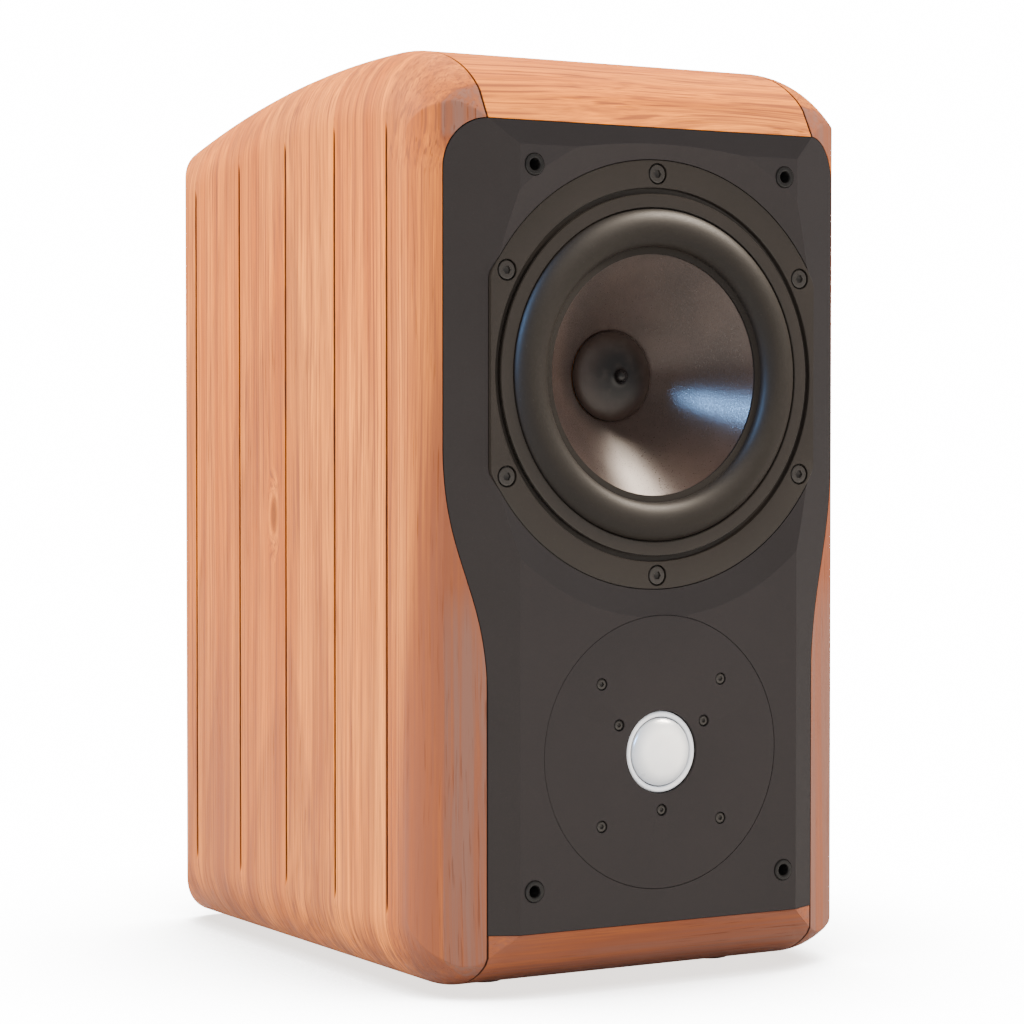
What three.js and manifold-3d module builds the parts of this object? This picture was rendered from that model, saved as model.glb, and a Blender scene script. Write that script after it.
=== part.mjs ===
// Two-way bookshelf loudspeaker: solid wood cheeks built from staves, wood top and bottom panels,
// a dark front baffle with the woofer above and the tweeter below, a vented back with a terminal cup.
// Millimetres, +Z up, front towards -Y. The origin is the middle of the footprint, on the floor.

import * as THREE from 'three';
import { mergeVertices } from 'three/addons/utils/BufferGeometryUtils.js';
import Module from 'manifold-3d';

const wasm = await Module();
wasm.setup();

// ---------------------------------------------------------------- driving dimensions

// Cabinet: width, depth and height of the wood body, without feet and driver parts.
const bodyWidth = 220;
const bodyDepth = 280;
const bodyHeight = 410;
const footHeight = 2;
const footRadius = 9;
const footInset = 24;
const jointGap = 0.3;

// Facets around a large, a medium and a small round piece.
const largeFacets = 48;
const mediumFacets = 32;
const smallFacets = 16;

// Front plan: a flat middle, a bevel on each side, then a rounded wood edge into the side.
const bevelWidth = 29.3;
const bevelDepth = 14.5;
const edgeRoundWidth = 8.7;
const edgeRoundDepth = 18;
const rearEdgeRadius = 22;

// Top and bottom, seen from the side: quarter ellipses at the front, a shallow arch behind them.
const crestDepth = 75;
const topRoundDepth = 69.5;
const topRoundHeight = 41.4;
const archRadius = 820;
const topBevelSlope = 1.78;
const bottomRoundDepth = 45;
const bottomRoundHeight = 31;
const bottomBevelSlope = 1.6;

// Cheeks: thickness, the rounded shoulder along their top and bottom, and their staves.
const cheekThickness = 25.5;
const shoulderHeight = 32;
const stavePitch = 50;
const grooveWidth = 1.4;
const grooveDepth = 1.2;

// Panels.
const panelThickness = 26;
const ceilingThickness = 40;
const backThickness = 22;
const backInset = 7;
const braceThickness = 12;
const braceRim = 26;

// Baffle: thickness, its outline and the height of its top bevel.
const baffleThickness = 22;
const baffleTopBelowCrest = 35.3;
const baffleTopBevel = 10.7;
const baffleCornerHeight = 21;
const waistTopBelowWoofer = 32.5;
const waistBottomBelowWoofer = 139.5;

// Woofer, depths counted from the front plane.
const wooferBelowCrest = 143.5;
const wooferFrameRadius = 94;
const wooferFrameFlat = 84;
const wooferSetback = 4;
const wooferFlangeThickness = 5;
const wooferDishWidth = 12.4;
const wooferBoltInset = 6;
const wooferLedge = 16;
const basketWindow = 36;
const basketWall = 3;
const trimRingWidth = 6;
const trimRingGroove = 2.6;
const trimRingThickness = 1.8;
const trimRingProud = 0.5;
const surroundThickness = 1;
const surroundLip = 3;
const rollHeight = 5.5;
const rollWidth = 17;
const neckClearance = 1.5;
const coneNeckDepth = 43;
const coneThickness = 1.2;
const capRimAhead = 0.6;
const capRise = 9;
const coilRadius = 19;
const magnetWidth = 27;
const magnetThickness = 18;
const topPlateThickness = 6;
const backPlateThickness = 6;
const neckToTopPlate = 17;
const wooferThrow = 5;
const coilGap = 0.8;
const formerThickness = 0.6;
const windingThickness = 0.6;

// Tweeter.
const tweeterBelowWoofer = 165.4;
const tweeterPlateRadius = 60;
const tweeterPlateThickness = 4;
const tweeterBoltInset = 16.2;
const tweeterDomeRadius = 15;
const tweeterRollWidth = 2.9;
const tweeterDomeHeight = 5;
const tweeterDomeProud = 3;
const domeThickness = 0.6;
const tweeterCoilInset = 0.1;
const tweeterCoilLength = 6;
const chamberWall = 3;
const tweeterBoltToMagnet = 7.8;
const tweeterMagnetThickness = 20;
const tweeterChamberDepth = 26;
const tweeterThrow = 0.5;

// Grille sockets and screws.
const socketHalfSpacing = 65;
const socketTopAboveWoofer = 89;
const socketBottomBelowWoofer = 222;
const socketRadius = 4.6;
const socketHole = 2.6;
const socketLength = 12;
const socketProud = 0.6;
const wooferScrewHead = 4;
const wooferScrewShank = 2;
const tweeterScrewHead = 2.3;
const tweeterScrewShank = 1.2;

// Back: reflex port and terminal cup with two binding posts.
const portAboveWoofer = 37.5;
const portRadius = 26;
const portWall = 2.5;
const portLength = 120;
const portFlare = 12;
const portLip = 8;
const portLipThickness = 3;
const cupAboveFloor = 90;
const cupWidth = 96;
const cupTall = 76;
const cupDepth = 24;
const cupWall = 3;
const cupFlange = 9;
const postSpacing = 38;
const postThread = 3;
const postCollarRadius = 9;
const postCapRadius = 7.5;
const postCapLength = 14;
const bananaHole = 2.1;
const washerThickness = 1.2;
const studTail = 9;

// ---------------------------------------------------------------- places worked out from them

const frontY = -(bodyDepth + tweeterDomeProud) / 2 + tweeterDomeProud;
const rearY = frontY + bodyDepth;
const halfWidth = bodyWidth / 2;
const floorZ = footHeight;
const crestZ = footHeight + bodyHeight;
const jointX = halfWidth - cheekThickness;
const panelHalfWidth = jointX - jointGap / 2;
const baffleBottomZ = floorZ + panelThickness + jointGap;
const baffleTopZ = crestZ - baffleTopBelowCrest;
const ceilingZ = crestZ - ceilingThickness;
const baffleBackY = frontY + baffleThickness;
const backOuterY = rearY - backInset;
const backInnerY = backOuterY - backThickness;
const wooferZ = crestZ - wooferBelowCrest;
const tweeterZ = wooferZ - tweeterBelowWoofer;
const waistTopZ = wooferZ - waistTopBelowWoofer;
const waistBottomZ = wooferZ - waistBottomBelowWoofer;
const portZ = wooferZ + portAboveWoofer;
const cupZ = floorZ + cupAboveFloor;
const bevelEdgeX = halfWidth - edgeRoundWidth;
const flatHalfWidth = bevelEdgeX - bevelWidth;

const wooferBoltRadius = wooferFrameRadius - wooferBoltInset;
const wooferHoleRadius = wooferFrameRadius - wooferLedge;
const grooveOuter = wooferBoltRadius - wooferScrewHead - 2.1;
const trimRingOuter = grooveOuter - trimRingGroove;
const trimRingInner = trimRingOuter - trimRingWidth;
const surroundInner = trimRingInner - jointGap - rollWidth;
const coneNeckRadius = coilRadius + neckClearance;
const magnetRadius = coilRadius + magnetWidth;
const tweeterRingRadius = tweeterDomeRadius + tweeterRollWidth;
const tweeterBoltRadius = tweeterPlateRadius - tweeterBoltInset;
const tweeterMagnetRadius = tweeterBoltRadius - tweeterBoltToMagnet;

// ---------------------------------------------------------------- solids and booleans

function toSolid(geometry) {
  const bare = geometry.clone();
  bare.deleteAttribute('normal');
  bare.deleteAttribute('uv');
  const merged = mergeVertices(bare, 1e-4);
  const vertProperties = new Float32Array(merged.attributes.position.array);
  const triVerts = new Uint32Array(merged.index.array);
  return new wasm.Manifold(new wasm.Mesh({ numProp: 3, vertProperties, triVerts }));
}

function toGeometry(solid) {
  const mesh = solid.getMesh();
  const geometry = new THREE.BufferGeometry();
  geometry.setAttribute('position', new THREE.BufferAttribute(new Float32Array(mesh.vertProperties), 3));
  geometry.setIndex(new THREE.BufferAttribute(new Uint32Array(mesh.triVerts), 1));
  return geometry;
}

// A block between two corners.
function block(x0, x1, y0, y1, z0, z1) {
  const geometry = new THREE.BoxGeometry(x1 - x0, y1 - y0, z1 - z0);
  geometry.translate((x0 + x1) / 2, (y0 + y1) / 2, (z0 + z1) / 2);
  return toSolid(geometry);
}

// A closed profile of [radius, y] pairs turned about the Y axis through (x, z). The lathe's faces
// point outward when the profile runs anticlockwise, so a clockwise one is reversed first.
function turned(profile, x, z, segments) {
  const points = profile.map(([radius, y]) => new THREE.Vector2(radius, y));
  if (THREE.ShapeUtils.area(points) < 0) points.reverse();
  const onAxis = points[0].x === 0 && points[points.length - 1].x === 0;
  if (!onAxis) points.push(points[0].clone());
  const geometry = new THREE.LatheGeometry(points, segments);
  geometry.translate(x, 0, z);
  return toSolid(geometry);
}

// A round bar along Y.
function bar(radius, y0, y1, x, z, segments) {
  return turned([[0, y0], [radius, y0], [radius, y1], [0, y1]], x, z, segments);
}

// A shape drawn in (x, z) and extruded along Y.
function extrudeAlongY(shape, y0, y1, options = {}) {
  const geometry = new THREE.ExtrudeGeometry(shape, { depth: y1 - y0, bevelEnabled: false, ...options });
  geometry.rotateX(Math.PI / 2);
  geometry.translate(0, y1, 0);
  return geometry;
}

// A shape from its right half, listed from the bottom to the top, and its mirror image.
function mirroredShape(rightHalf) {
  const leftHalf = rightHalf.map((point) => new THREE.Vector2(-point.x, point.y)).reverse();
  return new THREE.Shape([...rightHalf, ...leftHalf]);
}

function ellipsePoints(x, y, radiusX, radiusY, startAngle, endAngle, count) {
  const clockwise = endAngle < startAngle;
  return new THREE.EllipseCurve(x, y, radiusX, radiusY, startAngle, endAngle, clockwise).getPoints(count);
}

// ---------------------------------------------------------------- outer form of the cabinet

// Height of the top along the middle of the cabinet: front bevel, quarter ellipse, shallow arch.
function topHeight(y) {
  const depth = y - frontY;
  if (depth >= crestDepth) return crestZ - (depth - crestDepth) ** 2 / (2 * archRadius);
  const bevel = baffleTopZ - baffleTopBevel + depth * topBevelSlope;
  const reach = Math.min(1, (crestDepth - depth) / topRoundDepth);
  const ellipse = crestZ - topRoundHeight * (1 - Math.sqrt(1 - reach ** 2));
  return depth < crestDepth - topRoundDepth ? bevel : Math.min(bevel, ellipse);
}

// Height of the underside: a bevel and a quarter ellipse at the front, flat behind them.
function bottomHeight(y) {
  const depth = y - frontY;
  if (depth >= bottomRoundDepth) return floorZ;
  const reach = (bottomRoundDepth - depth) / bottomRoundDepth;
  const ellipse = floorZ + bottomRoundHeight * (1 - Math.sqrt(1 - reach ** 2));
  return Math.min(baffleBottomZ - jointGap, Math.max(baffleBottomZ - bottomBevelSlope * depth, ellipse));
}

// The cross-section with rounded shoulders, swept from front to back along the top's and the
// underside's heights. The stations stand closer together at the front, where the form turns.
function sweptShoulders() {
  const arc = 8;
  const topCorner = ellipsePoints(jointX, crestZ - shoulderHeight, cheekThickness, shoulderHeight,
    0, Math.PI / 2, arc);
  const bottomCorner = ellipsePoints(jointX, floorZ + shoulderHeight, cheekThickness, shoulderHeight,
    -Math.PI / 2, 0, arc);
  const section = mirroredShape([...bottomCorner, ...topCorner]);
  const stations = 22;
  const geometry = extrudeAlongY(section, frontY, rearY, { steps: stations });
  const position = geometry.attributes.position;
  const middleZ = (floorZ + crestZ) / 2;
  for (let i = 0; i < position.count; i += 1) {
    const share = (position.getY(i) - frontY) / bodyDepth;
    const y = frontY + bodyDepth * share ** 2;
    const z = position.getZ(i);
    const shift = z > middleZ ? topHeight(y) - crestZ : bottomHeight(y) - floorZ;
    position.setXYZ(i, position.getX(i), y, z + shift);
  }
  return toSolid(geometry);
}

// The plan outline extruded upwards: front flat, side bevels, rounded front and rear edges.
function planPrism() {
  const edge = new THREE.QuadraticBezierCurve(
    new THREE.Vector2(bevelEdgeX, frontY + bevelDepth),
    new THREE.Vector2(halfWidth - 1, frontY + bevelDepth + edgeRoundDepth * 0.45),
    new THREE.Vector2(halfWidth, frontY + bevelDepth + edgeRoundDepth),
  ).getPoints(5);
  const rear = ellipsePoints(halfWidth - rearEdgeRadius, rearY - rearEdgeRadius, rearEdgeRadius,
    rearEdgeRadius, 0, Math.PI / 2, 6);
  const outline = mirroredShape([new THREE.Vector2(flatHalfWidth, frontY), ...edge, ...rear]);
  const geometry = new THREE.ExtrudeGeometry(outline, { depth: bodyHeight, bevelEnabled: false });
  geometry.translate(0, 0, floorZ);
  return toSolid(geometry);
}

const envelope = sweptShoulders().intersect(planPrism());

// The baffle's outline: straight and narrow below, an S-curve out to the bevel's edge, round top
// corners. Grown by the joint gap it is the pocket that the wood leaves for it.
function baffleOutline(grow) {
  const narrow = panelHalfWidth + grow;
  const wide = bevelEdgeX + grow;
  const top = baffleTopZ + grow;
  const shoulder = top - baffleCornerHeight;
  const bend = (waistTopZ - waistBottomZ) * 0.45;
  const waist = new THREE.CubicBezierCurve(
    new THREE.Vector2(narrow, waistBottomZ),
    new THREE.Vector2(narrow, waistBottomZ + bend),
    new THREE.Vector2(wide, waistTopZ - bend),
    new THREE.Vector2(wide, waistTopZ),
  ).getPoints(12);
  const corner = ellipsePoints(narrow, shoulder, wide - narrow, baffleCornerHeight, 0, Math.PI / 2, 7);
  const foot = new THREE.Vector2(narrow, baffleBottomZ - grow);
  return mirroredShape([foot, ...waist, ...corner]);
}

const bafflePocket = toSolid(extrudeAlongY(baffleOutline(jointGap), frontY - 10, baffleBackY + jointGap));

// ---------------------------------------------------------------- scene

const group = new THREE.Group();

function surface(color, roughness, metalness) {
  return new THREE.MeshStandardMaterial({ color, roughness, metalness });
}

const walnut = surface('#c48d63', 0.5, 0);
const board = surface('#b99a73', 0.8, 0);
const baffleLacquer = surface('#44403c', 0.6, 0);
const castFrame = surface('#3a3836', 0.55, 0.3);
const rubber = surface('#1d1c1c', 0.7, 0);
const conePolymer = surface('#4a3c36', 0.35, 0);
const blackPlastic = surface('#242322', 0.5, 0);
const silverSilk = surface('#dcdcda', 0.4, 0.1);
const steel = surface('#6d6d6f', 0.4, 0.9);
const blackSteel = surface('#2a2a2b', 0.45, 0.7);
const ferrite = surface('#3b3b3d', 0.8, 0.1);
const brass = surface('#c9a54c', 0.35, 0.9);
const copper = surface('#a9643b', 0.4, 0.8);
const fibre = surface('#8d7a4f', 0.9, 0);
const circuitBoard = surface('#2f5a3c', 0.6, 0);
const redPlastic = surface('#a3231f', 0.45, 0);

function add(name, solid, material) {
  const mesh = new THREE.Mesh(toGeometry(solid), material);
  mesh.name = name;
  group.add(mesh);
}

// ---------------------------------------------------------------- cabinet

// Each cheek is a row of upright staves with a shallow groove along every glue joint.
function addStaves(side, name) {
  const inner = jointX + jointGap / 2;
  const outer = halfWidth + 10;
  const joints = [];
  for (let y = frontY + stavePitch; y < rearY - rearEdgeRadius; y += stavePitch) joints.push(y);
  const edges = [frontY - jointGap, ...joints, rearY + jointGap];
  for (let k = 0; k < edges.length - 1; k += 1) {
    const x0 = side > 0 ? inner : -outer;
    const x1 = side > 0 ? outer : -inner;
    const y0 = edges[k] + jointGap / 2;
    const y1 = edges[k + 1] - jointGap / 2;
    let stave = envelope.intersect(block(x0, x1, y0, y1, 0, crestZ + 1)).subtract(bafflePocket);
    for (const y of joints) {
      const floor = side * (halfWidth - grooveDepth);
      const mouth = side * outer;
      const groove = block(Math.min(floor, mouth), Math.max(floor, mouth),
        y - grooveWidth / 2, y + grooveWidth / 2, 0, crestZ + 1);
      stave = stave.subtract(groove);
    }
    add(`${name}_stave_${k + 1}`, stave, walnut);
  }
}

addStaves(-1, 'left');
addStaves(1, 'right');

// Top and bottom panels run across between the cheeks.
const insideTop = block(-panelHalfWidth, panelHalfWidth, frontY - 1, rearY + 1, ceilingZ, crestZ + 1);
add('top_panel', envelope.intersect(insideTop).subtract(bafflePocket), walnut);

function addBottomPanel() {
  const slab = block(-panelHalfWidth, panelHalfWidth, frontY - 1, rearY + 1, 0, floorZ + panelThickness);
  add('bottom_panel', envelope.intersect(slab), walnut);
}

addBottomPanel();

// Thin rubber pads under the bottom panel.
function addFeet() {
  const thickness = footHeight - jointGap / 2;
  const reachX = jointX - footInset;
  const places = [
    ['front_left_foot', -reachX, frontY + bottomRoundDepth + footRadius],
    ['front_right_foot', reachX, frontY + bottomRoundDepth + footRadius],
    ['rear_left_foot', -reachX, rearY - footInset],
    ['rear_right_foot', reachX, rearY - footInset],
  ];
  for (const [name, x, y] of places) {
    const geometry = new THREE.CylinderGeometry(footRadius, footRadius, thickness, mediumFacets);
    geometry.rotateX(Math.PI / 2);
    geometry.translate(x, y, thickness / 2);
    add(name, toSolid(geometry), rubber);
  }
}

addFeet();

// Back panel, let in between the cheeks, with the port's hole and the terminal cup's hole.
function addBackPanel() {
  const slab = block(-panelHalfWidth, panelHalfWidth, backInnerY, backOuterY,
    baffleBottomZ, ceilingZ - jointGap);
  const throughY = [backInnerY - 1, backOuterY + 1];
  const portHole = bar(portRadius + portWall + jointGap, ...throughY, 0, portZ, largeFacets);
  const flareRecess = bar(portRadius + portFlare + jointGap, backOuterY - portFlare - jointGap,
    backOuterY + 1, 0, portZ, largeFacets);
  const cupHole = block(-cupWidth / 2 - jointGap, cupWidth / 2 + jointGap, ...throughY,
    cupZ - cupTall / 2 - jointGap, cupZ + cupTall / 2 + jointGap);
  add('back_panel', slab.subtract(portHole).subtract(flareRecess).subtract(cupHole), board);
}

addBackPanel();

// A window brace across the cabinet, at the height between the two drivers.
function addBrace() {
  const middleZ = (wooferZ - wooferHoleRadius + tweeterZ + tweeterPlateRadius) / 2;
  const y0 = baffleBackY + jointGap;
  const y1 = backInnerY - jointGap;
  const slab = block(-panelHalfWidth, panelHalfWidth, y0, y1,
    middleZ - braceThickness / 2, middleZ + braceThickness / 2);
  const window = block(-panelHalfWidth + braceRim, panelHalfWidth - braceRim, y0 + braceRim, y1 - braceRim,
    middleZ - braceThickness, middleZ + braceThickness);
  add('window_brace', slab.subtract(window), board);
}

addBrace();

// ---------------------------------------------------------------- front baffle

const socketPlaces = [
  ['top_left_socket', -socketHalfSpacing, wooferZ + socketTopAboveWoofer],
  ['top_right_socket', socketHalfSpacing, wooferZ + socketTopAboveWoofer],
  ['bottom_left_socket', -socketHalfSpacing, wooferZ - socketBottomBelowWoofer],
  ['bottom_right_socket', socketHalfSpacing, wooferZ - socketBottomBelowWoofer],
];

function wooferBoltPlaces() {
  return [90, 30, -30, -90, -150, 150].map((degrees) => {
    const angle = THREE.MathUtils.degToRad(degrees);
    return [wooferBoltRadius * Math.cos(angle), wooferZ + wooferBoltRadius * Math.sin(angle)];
  });
}

function tweeterBoltPlaces() {
  const half = tweeterBoltRadius * Math.SQRT1_2;
  return [[-half, half], [half, half], [half, -half], [-half, -half]].map(([x, z]) => [x, tweeterZ + z]);
}

// The woofer flange's outline: a circle with its two sides cut flat.
function flangeBlank(radius, flat, y0, y1) {
  const limits = block(-flat, flat, y0 - 1, y1 + 1, wooferZ - radius - 1, wooferZ + radius + 1);
  return bar(radius, y0, y1, 0, wooferZ, largeFacets).intersect(limits);
}

function addBaffle() {
  const slab = toSolid(extrudeAlongY(baffleOutline(0), frontY - 1, baffleBackY));
  const face = frontY + wooferSetback;
  const dish = turned([
    [0, face], [wooferFrameRadius + jointGap, face],
    [wooferFrameRadius + wooferDishWidth, frontY], [wooferFrameRadius + wooferDishWidth + 8, frontY - 3],
    [0, frontY - 3],
  ], 0, wooferZ, largeFacets);
  const seat = flangeBlank(wooferFrameRadius + jointGap, wooferFrameFlat + jointGap, frontY - 3,
    face + wooferFlangeThickness + jointGap);
  let baffle = envelope.intersect(slab).subtract(dish).subtract(seat);
  baffle = baffle.subtract(bar(wooferHoleRadius, frontY - 3, baffleBackY + 1, 0, wooferZ, largeFacets));
  const plateSeat = bar(tweeterPlateRadius + jointGap, frontY - 3,
    frontY + tweeterPlateThickness + jointGap, 0, tweeterZ, largeFacets);
  baffle = baffle.subtract(plateSeat);
  const motorHole = bar(tweeterMagnetRadius + 1, frontY - 3, baffleBackY + 1, 0, tweeterZ, mediumFacets);
  baffle = baffle.subtract(motorHole);
  const socketEndY = frontY + socketLength + jointGap;
  for (const [, x, z] of socketPlaces) {
    baffle = baffle.subtract(bar(socketRadius + jointGap, frontY - 3, socketEndY, x, z, smallFacets));
  }
  for (const [x, z] of wooferBoltPlaces()) {
    baffle = baffle.subtract(bar(wooferScrewShank + jointGap, frontY - 3, frontY + 20.5, x, z, 12));
  }
  for (const [x, z] of tweeterBoltPlaces()) {
    baffle = baffle.subtract(bar(tweeterScrewShank + jointGap, frontY - 3, frontY + 14.5, x, z, 10));
  }
  add('front_baffle', baffle, baffleLacquer);
}

addBaffle();

// Sockets for the grille's pegs: a collar a little proud of the baffle round a blind hole.
for (const [name, x, z] of socketPlaces) {
  const y0 = frontY - socketProud;
  const y1 = frontY + socketLength;
  add(name, turned([
    [0, y1], [0, y1 - 2], [socketHole, y1 - 2], [socketHole, y0 + 0.5], [socketHole + 0.5, y0],
    [socketRadius - 0.4, y0], [socketRadius, y0 + 0.4], [socketRadius, y1],
  ], x, z, smallFacets), rubber);
}

// A thin elliptical dome about a driver's axis, bulging towards the front from its rim.
function domeShell(radius, rise, thickness, rimY, z) {
  const front = ellipsePoints(0, rimY, radius, rise, -Math.PI / 2, 0, 5);
  const rear = ellipsePoints(0, rimY + thickness, radius - thickness, rise, 0, -Math.PI / 2, 5);
  const profile = [...front, ...rear].map((p) => [p.x, p.y]);
  profile[0][0] = 0;
  profile[profile.length - 1][0] = 0;
  return turned(profile, 0, z, mediumFacets);
}

// ---------------------------------------------------------------- woofer

// A screw with a round head, a hexagon socket and a plain shank, along +Y from the head's face.
function screw(headRadius, headHeight, shankRadius, length, faceY, x, z) {
  const profile = [
    [0, faceY + headHeight + length], [shankRadius, faceY + headHeight + length],
    [shankRadius, faceY + headHeight], [headRadius, faceY + headHeight], [headRadius, faceY + 0.4],
    [headRadius - 0.4, faceY], [0, faceY],
  ];
  const socket = bar(headRadius * 0.45, faceY - 1, faceY + headHeight * 0.6, x, z, 6);
  return turned(profile, x, z, smallFacets).subtract(socket);
}

const wooferFaceY = frontY + wooferSetback;
const flangeBackY = wooferFaceY + wooferFlangeThickness;
const topPlateY = frontY + coneNeckDepth + neckToTopPlate;

// Cast basket: flange, a conical cage with six windows and a seat for the magnet's top plate.
function addWooferBasket() {
  const seatRadius = magnetRadius + 6;
  const cageTop = wooferHoleRadius - 1;
  let basket = flangeBlank(wooferFrameRadius, wooferFrameFlat, wooferFaceY, flangeBackY);
  const cage = turned([
    [cageTop, flangeBackY - 1], [cageTop, flangeBackY + 8], [seatRadius, topPlateY],
    [coilRadius + 8, topPlateY], [coilRadius + 8, topPlateY - basketWall],
    [seatRadius - basketWall, topPlateY - basketWall],
    [cageTop - basketWall, flangeBackY + 8], [cageTop - basketWall, flangeBackY - 1],
  ], 0, wooferZ, largeFacets);
  const rimStack = trimRingThickness - trimRingProud + surroundThickness + 2 * jointGap;
  const recess = bar(grooveOuter, wooferFaceY - 1, wooferFaceY + rimStack, 0, wooferZ, largeFacets);
  const throat = bar(cageTop - basketWall, wooferFaceY - 1, flangeBackY, 0, wooferZ, largeFacets);
  basket = basket.subtract(recess).subtract(throat).add(cage);
  const windowY0 = flangeBackY + 14;
  const windowY1 = topPlateY - 10;
  for (let k = 0; k < 3; k += 1) {
    const geometry = new THREE.BoxGeometry(2 * wooferHoleRadius, windowY1 - windowY0, basketWindow);
    geometry.rotateY(THREE.MathUtils.degToRad(60 * k));
    geometry.translate(0, (windowY0 + windowY1) / 2, wooferZ);
    basket = basket.subtract(toSolid(geometry));
  }
  for (const [x, z] of wooferBoltPlaces()) {
    const counterbore = bar(wooferScrewHead + 0.75, wooferFaceY - 1, wooferFaceY + 2.5, x, z, smallFacets);
    const shankHole = bar(wooferScrewShank + jointGap, wooferFaceY - 1, flangeBackY + 1, x, z, 12);
    basket = basket.subtract(counterbore).subtract(shankHole);
  }
  add('woofer_basket', basket, castFrame);
}

addWooferBasket();

// Ring that clamps the surround's rim to the basket.
const trimRingY = wooferFaceY - trimRingProud;
add('woofer_trim_ring', turned([
  [trimRingInner, trimRingY + 0.5], [trimRingInner + 0.6, trimRingY], [trimRingOuter - 0.6, trimRingY],
  [trimRingOuter, trimRingY + 0.5], [trimRingOuter, trimRingY + trimRingThickness],
  [trimRingInner, trimRingY + trimRingThickness],
], 0, wooferZ, largeFacets), castFrame);

// Half-roll rubber surround, from its flat rim on the basket to its lip on the cone.
const surroundY = trimRingY + trimRingThickness + jointGap;

function addWooferSurround() {
  const backY = surroundY + surroundThickness;
  const rollRadius = (trimRingInner - jointGap - surroundInner) / 2;
  const rollMiddle = surroundInner + rollRadius;
  const front = ellipsePoints(rollMiddle, surroundY, rollRadius, rollHeight, 0, -Math.PI, 7);
  const rear = ellipsePoints(rollMiddle, backY, rollRadius - surroundThickness, rollHeight - 0.2,
    -Math.PI, 0, 7);
  const profile = [
    [trimRingOuter, backY], [trimRingOuter, surroundY], ...front.map((p) => [p.x, p.y]),
    [surroundInner - surroundLip, surroundY], [surroundInner - surroundLip, backY],
    ...rear.map((p) => [p.x, p.y]),
  ];
  add('woofer_surround', turned(profile, 0, wooferZ, largeFacets), rubber);
}

addWooferSurround();

// Cone: a straight-sided shell from the surround to the voice coil.
const coneRimY = surroundY + surroundThickness + jointGap;
const coneNeckY = frontY + coneNeckDepth;
add('woofer_cone', turned([
  [surroundInner, coneRimY], [surroundInner, coneRimY + coneThickness],
  [surroundInner - surroundLip, coneRimY + coneThickness * 1.5],
  [coneNeckRadius, coneNeckY + coneThickness * 1.5], [coneNeckRadius, coneNeckY],
  [surroundInner - surroundLip, coneRimY],
], 0, wooferZ, largeFacets), conePolymer);

// Dust cap: a glossy dome over the coil, sunk in the cone.
const capThickness = 1;
add('woofer_dust_cap', domeShell(coneNeckRadius - jointGap, capRise, capThickness,
  coneNeckY - capRimAhead, wooferZ), blackPlastic);

// Voice coil: the former with its winding, which reaches the coil's throw past the top plate.
const formerOuter = coilRadius + formerThickness;
const windingOuter = formerOuter + windingThickness;
const formerStartY = coneNeckY + 2 * coneThickness - capRimAhead;
const windingStartY = topPlateY - wooferThrow + 1.6;
const formerEndY = topPlateY + topPlateThickness + wooferThrow;
add('woofer_voice_coil', turned([
  [coilRadius, formerStartY], [formerOuter, formerStartY], [formerOuter, windingStartY],
  [windingOuter, windingStartY], [windingOuter, formerEndY], [coilRadius, formerEndY],
], 0, wooferZ, mediumFacets), copper);

// Spider: corrugated cloth ring that centres the coil.
function addSpider() {
  const inner = formerOuter + jointGap;
  const outer = magnetRadius + 1;
  const middleY = topPlateY - 10;
  const waves = 3;
  const count = waves * 4;
  const waveHeight = 1.4;
  const clothThickness = 0.8;
  const front = [];
  for (let i = 0; i <= count; i += 1) {
    const radius = inner + (outer - inner) * i / count;
    front.push([radius, middleY + waveHeight * Math.sin(2 * Math.PI * waves * i / count)]);
  }
  const rear = front.map(([radius, y]) => [radius, y + clothThickness]).reverse();
  add('woofer_spider', turned([...front, ...rear], 0, wooferZ, mediumFacets), fibre);
}

addSpider();

// Magnet system: top plate, ring magnet, and back plate with the pole that fills the coil.
function addWooferMotor() {
  const plateRadius = magnetRadius + 3;
  const plateY = topPlateY + jointGap;
  const magnetY = plateY + topPlateThickness + jointGap;
  const backPlateY = magnetY + magnetThickness + jointGap;
  const poleRadius = coilRadius - coilGap;
  const gapRadius = windingOuter + coilGap;
  const topPlate = [
    [gapRadius, plateY], [plateRadius, plateY],
    [plateRadius, plateY + topPlateThickness], [gapRadius, plateY + topPlateThickness],
  ];
  const magnet = [
    [gapRadius + 3, magnetY], [magnetRadius, magnetY],
    [magnetRadius, magnetY + magnetThickness], [gapRadius + 3, magnetY + magnetThickness],
  ];
  const backPlate = [
    [0, topPlateY], [poleRadius, topPlateY], [poleRadius, backPlateY], [plateRadius, backPlateY],
    [plateRadius, backPlateY + backPlateThickness], [0, backPlateY + backPlateThickness],
  ];
  add('woofer_top_plate', turned(topPlate, 0, wooferZ, mediumFacets), steel);
  add('woofer_magnet', turned(magnet, 0, wooferZ, mediumFacets), ferrite);
  add('woofer_back_plate', turned(backPlate, 0, wooferZ, mediumFacets), steel);
}

addWooferMotor();

wooferBoltPlaces().forEach(([x, z], k) => {
  const solid = screw(wooferScrewHead, 2.2, wooferScrewShank, 13, wooferFaceY + 0.1, x, z);
  add(`woofer_screw_${k + 1}`, solid, blackSteel);
});

// ---------------------------------------------------------------- tweeter

function addTweeterPlate() {
  const y1 = frontY + tweeterPlateThickness;
  let plate = bar(tweeterPlateRadius, frontY, y1, 0, tweeterZ, largeFacets);
  plate = plate.subtract(bar(tweeterRingRadius + jointGap, frontY - 1, y1 + 1, 0, tweeterZ, largeFacets));
  for (const [x, z] of tweeterBoltPlaces()) {
    plate = plate.subtract(bar(tweeterScrewHead + jointGap, frontY - 1, frontY + 2.1, x, z, smallFacets));
    plate = plate.subtract(bar(tweeterScrewShank + jointGap, frontY - 1, y1 + 1, x, z, 10));
  }
  add('tweeter_plate', plate, baffleLacquer);
}

addTweeterPlate();

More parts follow.
